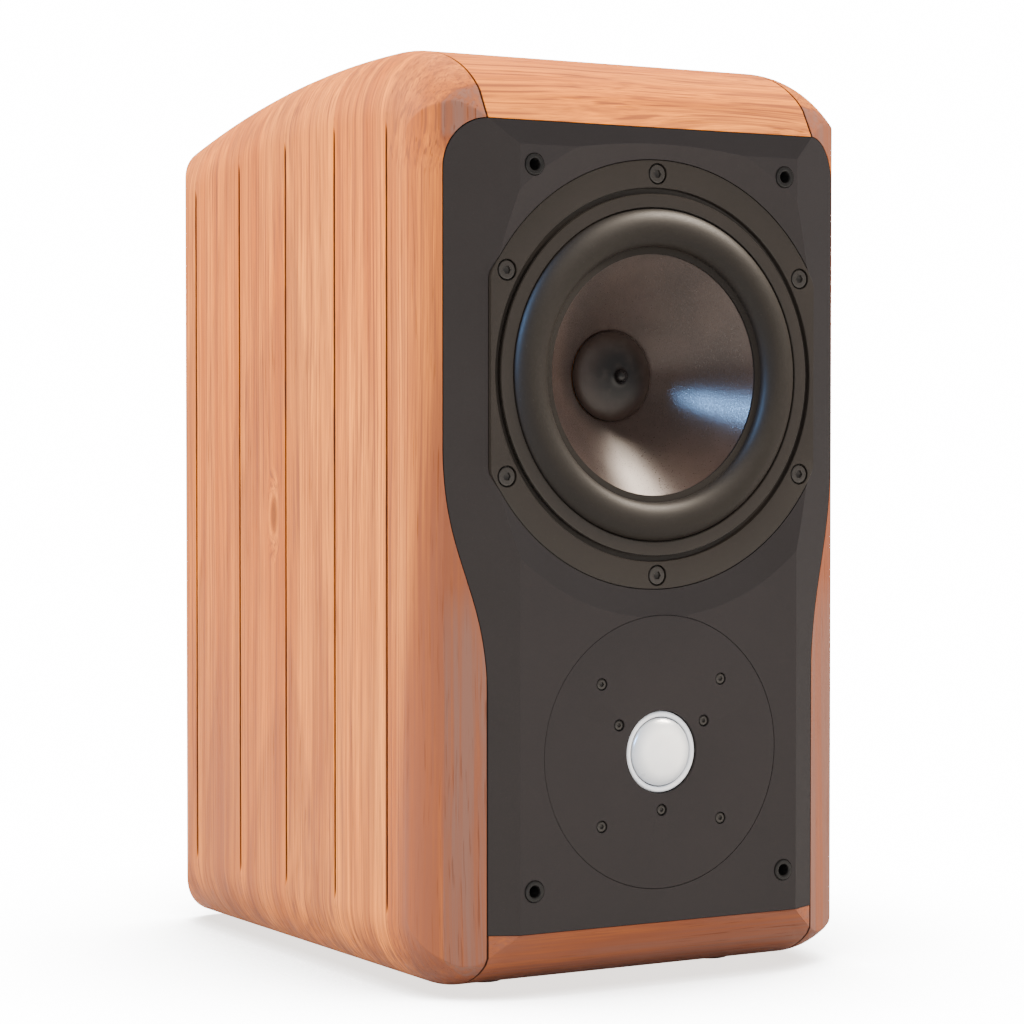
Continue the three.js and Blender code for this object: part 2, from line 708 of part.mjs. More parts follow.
// Soft dome with its roll, coil and motor.
const domeRimY = frontY - tweeterDomeProud + tweeterDomeHeight;
const tweeterGapY = frontY + tweeterPlateThickness + jointGap;

function addTweeterRing() {
  const inner = tweeterDomeRadius + jointGap;
  const rollRadius = (tweeterRingRadius - inner - jointGap) / 2;
  const backY = domeRimY + 1.2;
  const front = ellipsePoints(inner + rollRadius, domeRimY, rollRadius, rollRadius, 0, -Math.PI, 6);
  const profile = [
    [tweeterRingRadius, backY], [tweeterRingRadius, domeRimY],
    ...front.map((p) => [p.x, p.y]), [inner, backY],
  ];
  add('tweeter_surround', turned(profile, 0, tweeterZ, mediumFacets), silverSilk);
}

addTweeterRing();

add('tweeter_dome', domeShell(tweeterDomeRadius, tweeterDomeHeight, domeThickness, domeRimY, tweeterZ),
  silverSilk);

// Tweeter motor: the coil hangs in the magnet's ring gap, a cup behind it is the rear chamber.
function addTweeterMotor() {
  const coilOuter = tweeterDomeRadius - tweeterCoilInset;
  const coilInner = coilOuter - domeThickness;
  const coilY = domeRimY + domeThickness + jointGap;
  const coilEndY = coilY + tweeterCoilLength;
  const gapInner = coilInner - coilGap;
  const gapOuter = coilOuter + coilGap;
  const gapEndY = coilEndY + tweeterThrow + 6;
  const magnetEndY = tweeterGapY + tweeterMagnetThickness;
  const coil = [[coilInner, coilY], [coilOuter, coilY], [coilOuter, coilEndY], [coilInner, coilEndY]];
  const magnet = [
    [0, tweeterGapY], [gapInner, tweeterGapY], [gapInner, gapEndY], [gapOuter, gapEndY],
    [gapOuter, tweeterGapY], [tweeterMagnetRadius, tweeterGapY],
    [tweeterMagnetRadius, magnetEndY], [0, magnetEndY],
  ];
  const chamberOuter = tweeterMagnetRadius - 5;
  const chamberInner = chamberOuter - chamberWall;
  const chamberY = magnetEndY + jointGap;
  const chamberEndY = chamberY + tweeterChamberDepth;
  const chamber = [
    [0, chamberEndY], [0, chamberEndY - chamberWall], [chamberInner, chamberEndY - chamberWall],
    [chamberInner, chamberY], [chamberOuter, chamberY], [chamberOuter, chamberEndY - 4],
    [chamberOuter - 4, chamberEndY],
  ];
  add('tweeter_coil', turned(coil, 0, tweeterZ, mediumFacets), copper);
  add('tweeter_magnet', turned(magnet, 0, tweeterZ, mediumFacets), ferrite);
  add('tweeter_rear_chamber', turned(chamber, 0, tweeterZ, mediumFacets), blackPlastic);
}

addTweeterMotor();

tweeterBoltPlaces().forEach(([x, z], k) => {
  const solid = screw(tweeterScrewHead, 1.6, tweeterScrewShank, 11, frontY + 0.2, x, z);
  add(`tweeter_screw_${k + 1}`, solid, blackSteel);
});

// ---------------------------------------------------------------- back

// Reflex port: a tube with a flared mouth and a lip on the back panel.
function addPort() {
  const lipY = backOuterY + jointGap;
  const endY = lipY + portLipThickness;
  const innerFlare = ellipsePoints(portRadius + portFlare, endY - portFlare, portFlare, portFlare,
    Math.PI, Math.PI / 2, 4);
  const profile = [
    [portRadius, endY - portLength], [portRadius + portWall, endY - portLength],
    [portRadius + portWall, backOuterY - portFlare], [portRadius + portFlare, backOuterY - 1],
    [portRadius + portFlare, lipY], [portRadius + portFlare + portLip, lipY],
    [portRadius + portFlare + portLip, endY - 1], [portRadius + portFlare + portLip - 1, endY],
    ...innerFlare.reverse().map((p) => [p.x, p.y]),
  ];
  add('port_tube', turned(profile, 0, portZ, mediumFacets), blackPlastic);
}

addPort();

// Terminal cup: a flanged box let into the back panel, with a hole for each post.
const cupFlangeY = backOuterY + jointGap;
const cupFloorY = backOuterY - cupDepth;
const postPlaces = [
  ['red_post', -postSpacing / 2, redPlastic],
  ['black_post', postSpacing / 2, blackPlastic],
];

function addTerminalCup() {
  const halfX = cupWidth / 2;
  const halfZ = cupTall / 2;
  let cup = block(-halfX - cupFlange, halfX + cupFlange, cupFlangeY, cupFlangeY + cupWall,
    cupZ - halfZ - cupFlange, cupZ + halfZ + cupFlange);
  cup = cup.add(block(-halfX, halfX, cupFloorY - cupWall, cupFlangeY + 1, cupZ - halfZ, cupZ + halfZ));
  cup = cup.subtract(block(-halfX + cupWall, halfX - cupWall, cupFloorY, cupFlangeY + cupWall + 1,
    cupZ - halfZ + cupWall, cupZ + halfZ - cupWall));
  for (const [, x] of postPlaces) {
    const studHole = bar(postThread + jointGap, cupFloorY - cupWall - 1, cupFloorY + 1, x, cupZ, smallFacets);
    cup = cup.subtract(studHole);
  }
  add('terminal_cup', cup, blackPlastic);
}

addTerminalCup();

// Binding posts: a threaded stud with a collar, a loose washer and a cap that screws down on it.
function addPost([name, x, capMaterial]) {
  const collarY = cupFloorY + jointGap;
  const collarEnd = collarY + 3;
  const washerY = collarEnd + 0.3;
  const capY = washerY + washerThickness + 0.3;
  const capEnd = capY + postCapLength;
  const studEnd = capEnd - 3;
  const studStart = cupFloorY - cupWall - studTail;
  add(`${name}_stud`, turned([
    [0, studStart], [postThread, studStart], [postThread, collarY],
    [postCollarRadius, collarY], [postCollarRadius, collarEnd], [postThread, collarEnd],
    [postThread, studEnd], [0, studEnd],
  ], x, cupZ, smallFacets), brass);
  add(`${name}_washer`, turned([
    [postThread + 0.4, washerY], [postCapRadius - 0.5, washerY],
    [postCapRadius - 0.5, washerY + washerThickness], [postThread + 0.4, washerY + washerThickness],
  ], x, cupZ, smallFacets), brass);
  const shell = turned([
    [postThread + 0.3, capY], [postCapRadius, capY], [postCapRadius, capEnd - 1], [postCapRadius - 1, capEnd],
    [bananaHole, capEnd], [bananaHole, capEnd - 2], [postThread + 0.3, capEnd - 2],
  ], x, cupZ, mediumFacets);
  add(`${name}_cap`, shell, capMaterial);
}

postPlaces.forEach(addPost);

// Crossover: a circuit board with a coil and two capacitors, standing against the left cheek.
function addCrossover() {
  const boardX = -panelHalfWidth + 6;
  const y0 = baffleBackY + 70;
  const z0 = baffleBottomZ + 12;
  let crossover = block(boardX, boardX + 1.6, y0, y0 + 110, z0, z0 + 90);
  const coil = new THREE.CylinderGeometry(20, 20, 18, mediumFacets);
  coil.rotateZ(Math.PI / 2);
  coil.translate(boardX + 10, y0 + 30, z0 + 30);
  crossover = crossover.add(toSolid(coil));
  for (const y of [y0 + 68, y0 + 88]) {
    const capacitor = new THREE.CylinderGeometry(8, 8, 40, smallFacets);
    capacitor.rotateX(Math.PI / 2).rotateX(Math.PI / 2);
    capacitor.translate(boardX + 9, y, z0 + 45);
    crossover = crossover.add(toSolid(capacitor));
  }
  add('crossover_board', crossover, circuitBoard);
}

addCrossover();

export default group;
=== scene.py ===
"""A two-way bookshelf loudspeaker in solid walnut: cheeks glued up from staves, a charcoal baffle with the
woofer above and the tweeter below, a vented back with two binding posts. Metres, +Z up, front towards -Y."""

import math

import bmesh
import bpy
import numpy as np
from mathutils import Matrix, Vector


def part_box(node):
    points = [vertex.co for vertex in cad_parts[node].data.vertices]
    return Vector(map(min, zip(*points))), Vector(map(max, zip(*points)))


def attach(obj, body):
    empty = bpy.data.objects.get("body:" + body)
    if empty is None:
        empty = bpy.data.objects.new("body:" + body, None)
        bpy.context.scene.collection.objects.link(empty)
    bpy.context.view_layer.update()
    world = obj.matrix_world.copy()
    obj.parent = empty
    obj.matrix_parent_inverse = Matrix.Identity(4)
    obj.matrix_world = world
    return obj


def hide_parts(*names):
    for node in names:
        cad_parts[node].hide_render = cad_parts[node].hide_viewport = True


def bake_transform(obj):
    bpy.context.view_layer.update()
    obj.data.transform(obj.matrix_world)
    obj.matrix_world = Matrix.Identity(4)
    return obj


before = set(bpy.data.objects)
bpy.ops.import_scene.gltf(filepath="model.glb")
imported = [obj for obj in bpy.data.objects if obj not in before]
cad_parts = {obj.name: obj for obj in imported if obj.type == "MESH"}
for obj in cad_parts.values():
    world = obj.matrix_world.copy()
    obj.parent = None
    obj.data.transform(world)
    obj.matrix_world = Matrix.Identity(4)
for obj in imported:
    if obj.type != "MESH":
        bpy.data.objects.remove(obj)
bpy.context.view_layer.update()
mm = 0.001

# ---------------------------------------------------------------- camera
# A long lens about a metre and a half away, 30 degrees to the left of the front and a little above the
# cabinet's middle height.

camera_place = Vector((-0.7200, -1.2456, 0.2425))
camera_gaze = Vector((0.5026, 0.8642, -0.0258))
camera_data = bpy.data.cameras.new("camera")
camera_data.lens = 105.9
camera_data.sensor_width = 36.0
camera = bpy.data.objects.new("camera", camera_data)
camera.location = camera_place
camera.rotation_euler = camera_gaze.to_track_quat("-Z", "Y").to_euler()
bpy.context.scene.collection.objects.link(camera)
bpy.context.scene.camera = camera

# ---------------------------------------------------------------- studio
# A white sweep under soft lamps: a key at the left, three from above and low fills all round. Two window
# panes, a blue one and a warm one, are seen only as reflections in the woofer and the dome.


def plug(tree, socket, value):
    """Links a socket to another node's output, or types a number or a colour into it."""
    if isinstance(value, bpy.types.NodeSocket):
        tree.links.new(value, socket)
    elif value is not None:
        socket.default_value = value


def node(tree, kind, inputs=None, **settings):
    """Adds a shader node, with its settings and with its inputs given by name or number."""
    made = tree.nodes.new("ShaderNode" + kind)
    for name, value in settings.items():
        setattr(made, name, value)
    for name, value in (inputs or {}).items():
        plug(tree, made.inputs[name], value)
    return made


def calc(tree, operation, a, b=None):
    """One Math node's result."""
    return node(tree, "Math", {0: a, 1: b}, operation=operation).outputs[0]


def plus(tree, a, b):
    """The sum of two values."""
    return calc(tree, "ADD", a, b)


def minus(tree, a, b):
    """The first value less the second."""
    return calc(tree, "SUBTRACT", a, b)


def times(tree, a, b):
    """The product of two values."""
    return calc(tree, "MULTIPLY", a, b)


def vector(tree, operation, a, b=None):
    """One Vector Math node's result."""
    made = node(tree, "VectorMath", {0: a, 1: b}, operation=operation)
    return made.outputs["Value" if operation == "LENGTH" else "Vector"]


def span(tree, value, low, high, to_low=0.0, to_high=1.0):
    """The value eased from one range to another, flat outside it."""
    inputs = {"Value": value, "From Min": low, "From Max": high, "To Min": to_low, "To Max": to_high}
    return node(tree, "MapRange", inputs, interpolation_type="SMOOTHSTEP").outputs[0]


def blend_colours(tree, share, first, second):
    """Two colours mixed by a share from 0 to 1."""
    made = node(tree, "Mix", {0: share}, data_type="RGBA")
    plug(tree, made.inputs[6], first)
    plug(tree, made.inputs[7], second)
    return made.outputs[2]


def noise(tree, place, scale, detail=2.0, roughness=0.5):
    """Noise in 3-D at a place already stretched, returned as its node."""
    inputs = {"Vector": place, "Scale": scale, "Detail": detail, "Roughness": roughness}
    return node(tree, "TexNoise", inputs)


def new_material(name):
    """An empty node material with its output node."""
    made = bpy.data.materials.new(name)
    made.use_nodes = True
    made.node_tree.nodes.clear()
    return made, made.node_tree, node(made.node_tree, "OutputMaterial")


def link_object(name, mesh):
    """A new object for a mesh, at the origin."""
    made = bpy.data.objects.new(name, mesh)
    bpy.context.scene.collection.objects.link(made)
    return made


backdrop_white = (16.0, 16.0, 16.0, 1.0)
floor_radius = 30.0


def make_floor():
    """A disc with its middle at the object's foot: radius times the cosine and sine of the angle. To the camera
    it glows white, with a painted shadow near the object's foot.
    """
    turn = np.linspace(0, 2 * math.pi, 96, endpoint=False)
    rim = np.stack([np.cos(turn), np.sin(turn), np.zeros_like(turn)], 1) * floor_radius
    mesh = bpy.data.meshes.new("studio_floor")
    mesh.from_pydata(rim, [], [range(len(rim))])
    floor = link_object("studio_floor", mesh)
    material, tree, output = new_material("studio white")
    paint = node(tree, "BsdfDiffuse", {"Color": (0.42, 0.42, 0.43, 1)})
    # Painted shadow: ambient occlusion darkens the floor's white glow close to the object.
    open_share = node(tree, "AmbientOcclusion", {"Distance": 0.22}, samples=8).outputs["AO"]
    painted_shadow_mask = span(tree, open_share, 0.35, 1.0, 0.0, 1.0)
    white = blend_colours(tree, painted_shadow_mask, (2.4, 2.2, 2.05, 1), backdrop_white)
    glow = node(tree, "Emission", {"Color": white, "Strength": 1.0})
    seen = node(tree, "LightPath").outputs["Is Camera Ray"]
    either = node(tree, "MixShader", {0: seen, 1: paint.outputs[0], 2: glow.outputs[0]})
    plug(tree, output.inputs["Surface"], either.outputs[0])
    mesh.materials.append(material)


make_floor()

world = bpy.data.worlds.new("studio")
bpy.context.scene.world = world
world.use_nodes = True
sky = world.node_tree
sky.nodes.clear()
soft = node(sky, "Background", {"Color": (1.0, 0.98, 0.96, 1), "Strength": 0.45})
seen_white = node(sky, "Background", {"Color": backdrop_white, "Strength": 1.0})
sight = node(sky, "LightPath").outputs["Is Camera Ray"]
either = node(sky, "MixShader", {0: sight, 1: soft.outputs[0], 2: seen_white.outputs[0]})
node(sky, "OutputWorld", {"Surface": either.outputs[0]})


def softbox(name, place, target, size, power, colour, mirrored=False):
    """A rectangular light at a place, facing a target: it gives no reflection, or only a reflection."""
    data = bpy.data.lights.new(name, "AREA")
    data.shape = "RECTANGLE"
    data.size, data.size_y = size
    data.energy = power
    data.color = colour
    lamp = bpy.data.objects.new(name, data)
    lamp.location = place
    aim = Vector(target) - Vector(place)
    lamp.rotation_euler = aim.to_track_quat("-Z", "Y").to_euler()
    lamp.visible_camera = False
    lamp.visible_diffuse, lamp.visible_glossy = not mirrored, mirrored
    bpy.context.scene.collection.objects.link(lamp)
    return lamp


above_right, middle = (1.35, -0.75, 1.85), (0, 0, 0.3)
amber_white, warm_white, cool_white = (1.0, 0.84, 0.64), (1.0, 0.955, 0.88), (0.97, 0.99, 1.0)
softbox("key_left", (-1.4, 1.2, 1.35), (0, 0, 0.25), (1.2, 1.2), 148, (1.0, 0.965, 0.88))
top_soft = softbox("top_soft", above_right, middle, (0.7, 0.7), 104, amber_white)
left_soft = softbox("left_soft", (-1.0, -0.25, 1.3), (-0.1, 0, 0.33), (0.6, 0.6), 30, warm_white)
overhead = softbox("overhead", (0.3, 0.55, 2.2), middle, (1.0, 1.0), 66, (1.0, 0.92, 0.80))
shaded_from_above = bpy.data.collections.new("shaded_from_above")
for lamp_above in (top_soft, left_soft, overhead):
    lamp_above.light_linking.receiver_collection = shaded_from_above
softbox("front_fill", (-0.6, -2.5, 0.6), (0, 0, 0.2), (1.8, 1.8), 70, cool_white)
softbox("right_fill", (2.2, -1.0, 0.9), (0, 0, 0.2), (1.4, 1.4), 40, (0.95, 0.97, 1.0))
softbox("back_fill", (0.9, 2.1, 1.0), (0, 0, 0.2), (1.4, 1.4), 40, (1.0, 0.98, 0.95))

window_reflects_in = bpy.data.collections.new("window_reflects_in")
blue_sky, warm_sky = (0.22, 0.5, 1.0), (1.0, 0.87, 0.72)
for window in (
    softbox("window_left", (-1.95, -0.8, 1.3), (0, -0.1, 0.26), (0.34, 0.66), 190, blue_sky, mirrored=True),
    softbox("ceiling_window", above_right, middle, (0.6, 0.6), 290, warm_sky, mirrored=True),
):
    window.light_linking.receiver_collection = window_reflects_in

# ---------------------------------------------------------------- walnut cheeks
# Solid walnut, oiled to a satin finish: six upright staves a side, glued edge to edge, with a thin sawn
# groove along every glue line. Their top and bottom are shaped into one rounded shoulder with the panels.

front_y, rear_y = -138.5 * mm, 141.5 * mm
floor_z, crest_z = 2 * mm, 412 * mm
half_width = 110 * mm
joint_x = 84.5 * mm
shoulder_wide, shoulder_tall = 25.5 * mm, 32 * mm
flat_half, bevel_x, bevel_deep = 72 * mm, 101.3 * mm, 14.5 * mm
edge_round, rear_round = 18 * mm, 22 * mm
stave_pitch = 50 * mm
glue_lines = front_y + stave_pitch * np.arange(1, 6)
seam = 0.25 * mm
groove_half, groove_deep = 0.95 * mm, 1.3 * mm
groove_stop, groove_ramp = 31 * mm, 14 * mm
baffle_top, baffle_bottom = 376.7 * mm, 28.3 * mm
baffle_thick = 22 * mm
pocket_floor = front_y + baffle_thick + 0.3 * mm
top_bevel_slope, top_bevel_drop = 1.78, 10.7 * mm
eased_rim = 0.6 * mm


def top_height(y):
    """Height of the top over a depth: the steeper line of the front bevel, then a quarter ellipse up to the
    crest, then a shallow arch falling away as the square of the distance behind the crest."""
    depth = y - front_y
    crest, across, tall, arch_radius = 75 * mm, 69.5 * mm, 41.4 * mm, 820 * mm
    arch = crest_z - (depth - crest) ** 2 / (2 * arch_radius)
    bevel = baffle_top - top_bevel_drop + top_bevel_slope * depth
    reach = np.clip((crest - depth) / across, 0, 1)
    ellipse = crest_z - tall * (1 - np.sqrt(1 - reach**2))
    return np.where(depth >= crest, arch, np.minimum(bevel, ellipse))


def bottom_height(y):
    """Height of the underside over a depth: a bevel rising to the front edge, a quarter ellipse, a flat."""
    depth = y - front_y
    across, tall, bevel_slope = 45 * mm, 31 * mm, 1.6
    reach = np.clip((across - depth) / across, 0, 1)
    ellipse = floor_z + tall * (1 - np.sqrt(1 - reach**2))
    return np.minimum(baffle_bottom - 0.3 * mm, np.maximum(baffle_bottom - bevel_slope * depth, ellipse))


def plan_width(y):
    """Half the cabinet's width at a depth: the bevel's straight line, the eased front edge as a quadratic
    curve, the straight side, and a quarter circle at the rear."""
    depth = y - front_y
    bevel = flat_half + depth / bevel_deep * (bevel_x - flat_half)
    share = np.clip((depth - bevel_deep) / edge_round, 0, 1)
    # The curve's depth is 0.9 t + 0.1 t squared, which is solved for t here.
    t = (np.sqrt(0.81 + 0.4 * share) - 0.9) / 0.2
    knee = half_width - 1 * mm
    edge = (1 - t) ** 2 * bevel_x + 2 * t * (1 - t) * knee + t**2 * half_width
    back = np.clip((y - (rear_y - rear_round)) / rear_round, 0, 1)
    rear = half_width - rear_round * (1 - np.sqrt(1 - back**2))
    return np.where(depth < bevel_deep, bevel, np.minimum(edge, rear))


def rim_fall(distance):
    """How far a surface drops near an end, at a distance from it: a quarter circle of the eased rim."""
    near = np.clip((eased_rim - distance) / eased_rim, 0, 1)
    return eased_rim * (1 - np.sqrt(1 - near**2))


def cheek_sections(y):
    """A cheek's cross-section at each depth: in from the joint with the panel, over the shoulder's ellipse to
    where the plan outline cuts it, down the side and under the lower shoulder. The cut is eased by moving the
    points near it inwards, less and less with their distance from it."""
    inner = joint_x + seam
    wide = plan_width(y)[:, None]
    top, bottom = top_height(y)[:, None], bottom_height(y)[:, None]
    turn = np.arcsin(np.clip((wide - joint_x) / shoulder_wide, 0, 1))
    first = np.array([0, 0.004, 0.009, 0.016, 0.026])
    share = np.concatenate([first, np.sin(np.linspace(0.04, 1, 26) * math.pi / 2)])[None, :]
    x = joint_x + shoulder_wide * np.sin(turn * share)
    x = np.maximum(x, inner)
    drop = shoulder_tall * (1 - np.cos(turn * share))
    down = (0.5 - 0.5 * np.cos(np.linspace(0, 1, 56)[1:-1] * math.pi))[None, :]
    high, low = top - drop[:, -1:], bottom + drop[:, -1:]
    wall_z = high + (low - high) * down
    all_x = np.concatenate([x, wide + 0 * wall_z, x[:, ::-1]], 1)
    all_z = np.concatenate([top - drop, wall_z, bottom + drop[:, ::-1]], 1)
    ease = 0.7 * mm
    lean = np.stack([np.sin(turn) / shoulder_wide, np.cos(turn) / shoulder_tall], -1)
    lean /= np.linalg.norm(lean, axis=-1, keepdims=True)
    bisector = lean + np.array([1.0, 0.0])
    sharpness = np.arccos(np.clip(lean[..., 0], -1, 1)) / (math.pi / 2)
    bisector /= np.linalg.norm(bisector, axis=-1, keepdims=True)
    start_x, start_z = all_x.copy(), all_z.copy()
    for corner, way in ((high, 1), (low, -1)):
        away = np.hypot(start_x - wide, start_z - corner)
        pull = np.clip(1 - away / ease, 0, 1) ** 2 * ease * 0.3 * sharpness
        all_x = all_x - pull * bisector[..., 0]
        all_z = all_z - way * pull * bisector[..., 1]
    fall = rim_fall(all_x - inner)
    upper = np.arange(all_x.shape[1]) < all_x.shape[1] / 2
    all_z = all_z + np.where(upper, -fall, fall)
    off_line = np.abs(y[:, None] - glue_lines[None, :]).min(1)[:, None] / groove_half
    groove = groove_deep * np.sqrt(1 - np.clip(off_line, 0, 1) ** 2)
    into = np.minimum(top - all_z - groove_stop, all_z - bottom - groove_stop) / groove_ramp
    groove = groove * np.clip(into, 0, 1) ** 0.7
    all_x = np.minimum(all_x, np.where(groove > 0, half_width - groove, 1.0))
    return np.stack([all_x, y[:, None] + 0 * all_x, all_z], -1)


def solid(name, grid, wrap=False, angle=28):
    """A closed body from a grid of points: rows follow one another and each row is a closed ring. The two end
    rows are closed with a face, or joined to each other if wrap. Rows drawn to one point become a pole."""
    rows, ring = grid.shape[:2]
    index = np.arange(rows * ring).reshape(rows, ring)
    if wrap:
        index = np.vstack([index, index[:1]])
    a, b = index[:-1], index[1:]
    quads = np.stack([a, np.roll(a, -1, 1), np.roll(b, -1, 1), b], -1).reshape(-1, 4)
    faces = quads.tolist()
    if not wrap:
        faces += [index[0][::-1].tolist(), index[-1].tolist()]
    mesh = bpy.data.meshes.new(name)
    mesh.from_pydata(grid.reshape(-1, 3), [], faces)
    form = bmesh.new()
    form.from_mesh(mesh)
    bmesh.ops.remove_doubles(form, verts=form.verts, dist=2e-6)
    bmesh.ops.dissolve_degenerate(form, edges=form.edges, dist=1e-7)
    bmesh.ops.recalc_face_normals(form, faces=form.faces)
    form.to_mesh(mesh)
    form.free()
    finish_shading(mesh, angle)
    return link_object(name, mesh)


def finish_shading(mesh, angle):
    """Smooth shading that breaks at edges sharper than the angle."""
    mesh.shade_smooth()
    mesh.set_sharp_from_angle(angle=math.radians(angle))


def carve(piece, *cutters, angle=28):
    """Takes the cutters' volumes out of a piece and removes the cutters."""
    for cutter in cutters:
        cut = piece.modifiers.new("cut", "BOOLEAN")
        cut.operation, cut.solver, cut.object = "DIFFERENCE", "EXACT", cutter
    view = bpy.context.evaluated_depsgraph_get()
    mesh = bpy.data.meshes.new_from_object(piece.evaluated_get(view))
    piece.modifiers.clear()
    piece.data = mesh
    for cutter in cutters:
        bpy.data.objects.remove(cutter)
    finish_shading(mesh, angle)
    return piece


def outline(grow):
    """The baffle's front outline: narrow and straight below, an S as a cubic curve out to the bevel's edge,
    and a quarter ellipse at the top corner, grown all round by an amount and mirrored."""
    narrow, wide = joint_x - 0.15 * mm + grow, bevel_x + grow
    low, high = 129 * mm, 236 * mm
    bend = (high - low) * 0.45
    t = np.linspace(0, 1, 48)[:, None]
    p = np.array([[narrow, low], [narrow, low + bend], [wide, high - bend], [wide, high]])
    s_curve = (1 - t) ** 3 * p[0] + 3 * t * (1 - t) ** 2 * p[1] + 3 * t**2 * (1 - t) * p[2] + t**3 * p[3]
    angle = np.linspace(0, math.pi / 2, 28)
    tall = 21 * mm
    corner_z = baffle_top + grow - tall * (1 - np.sin(angle))
    corner = np.stack([narrow + (wide - narrow) * np.cos(angle), corner_z], 1)
    foot = np.array([[narrow, baffle_bottom - grow]])
    half = np.concatenate([foot, s_curve, corner])
    return np.concatenate([half, half[::-1] * [-1, 1]])


def prism(name, shape, y0, y1):
    """A flat outline in x and z carried along Y."""
    ring = np.stack([shape[:, 0], 0 * shape[:, 0], shape[:, 1]], 1)
    return solid(name, np.stack([ring + [0, y0, 0], ring + [0, y1, 0]]))


def finished(piece, body, slot_name, material, *cad_nodes):
    """Gives a piece its material and its body, and hides the CAD nodes that it stands for. The slot name is not
    used.
    """
    piece.data.materials.clear()
    piece.data.materials.append(material)
    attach(piece, body)
    if cad_nodes:
        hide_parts(*cad_nodes)
    return piece


def new_group(name, inputs):
    """An empty shader node group with named inputs, each a vector, a number or a colour by its first value.
    It puts out a colour, a roughness and a height."""
    tree = bpy.data.node_groups.new(name, "ShaderNodeTree")
    kinds = {type(None): "Vector", float: "Float", tuple: "Color"}
    for socket, first in inputs.items():
        kind = "NodeSocket" + kinds[type(first)]
        made = tree.interface.new_socket(socket, in_out="INPUT", socket_type=kind)
        if first is not None:
            made.default_value = first
    for socket, kind in (("Color", "Color"), ("Roughness", "Float"), ("Height", "Float")):
        tree.interface.new_socket(socket, in_out="OUTPUT", socket_type="NodeSocket" + kind)
    return tree, tree.nodes.new("NodeGroupInput").outputs, tree.nodes.new("NodeGroupOutput").inputs


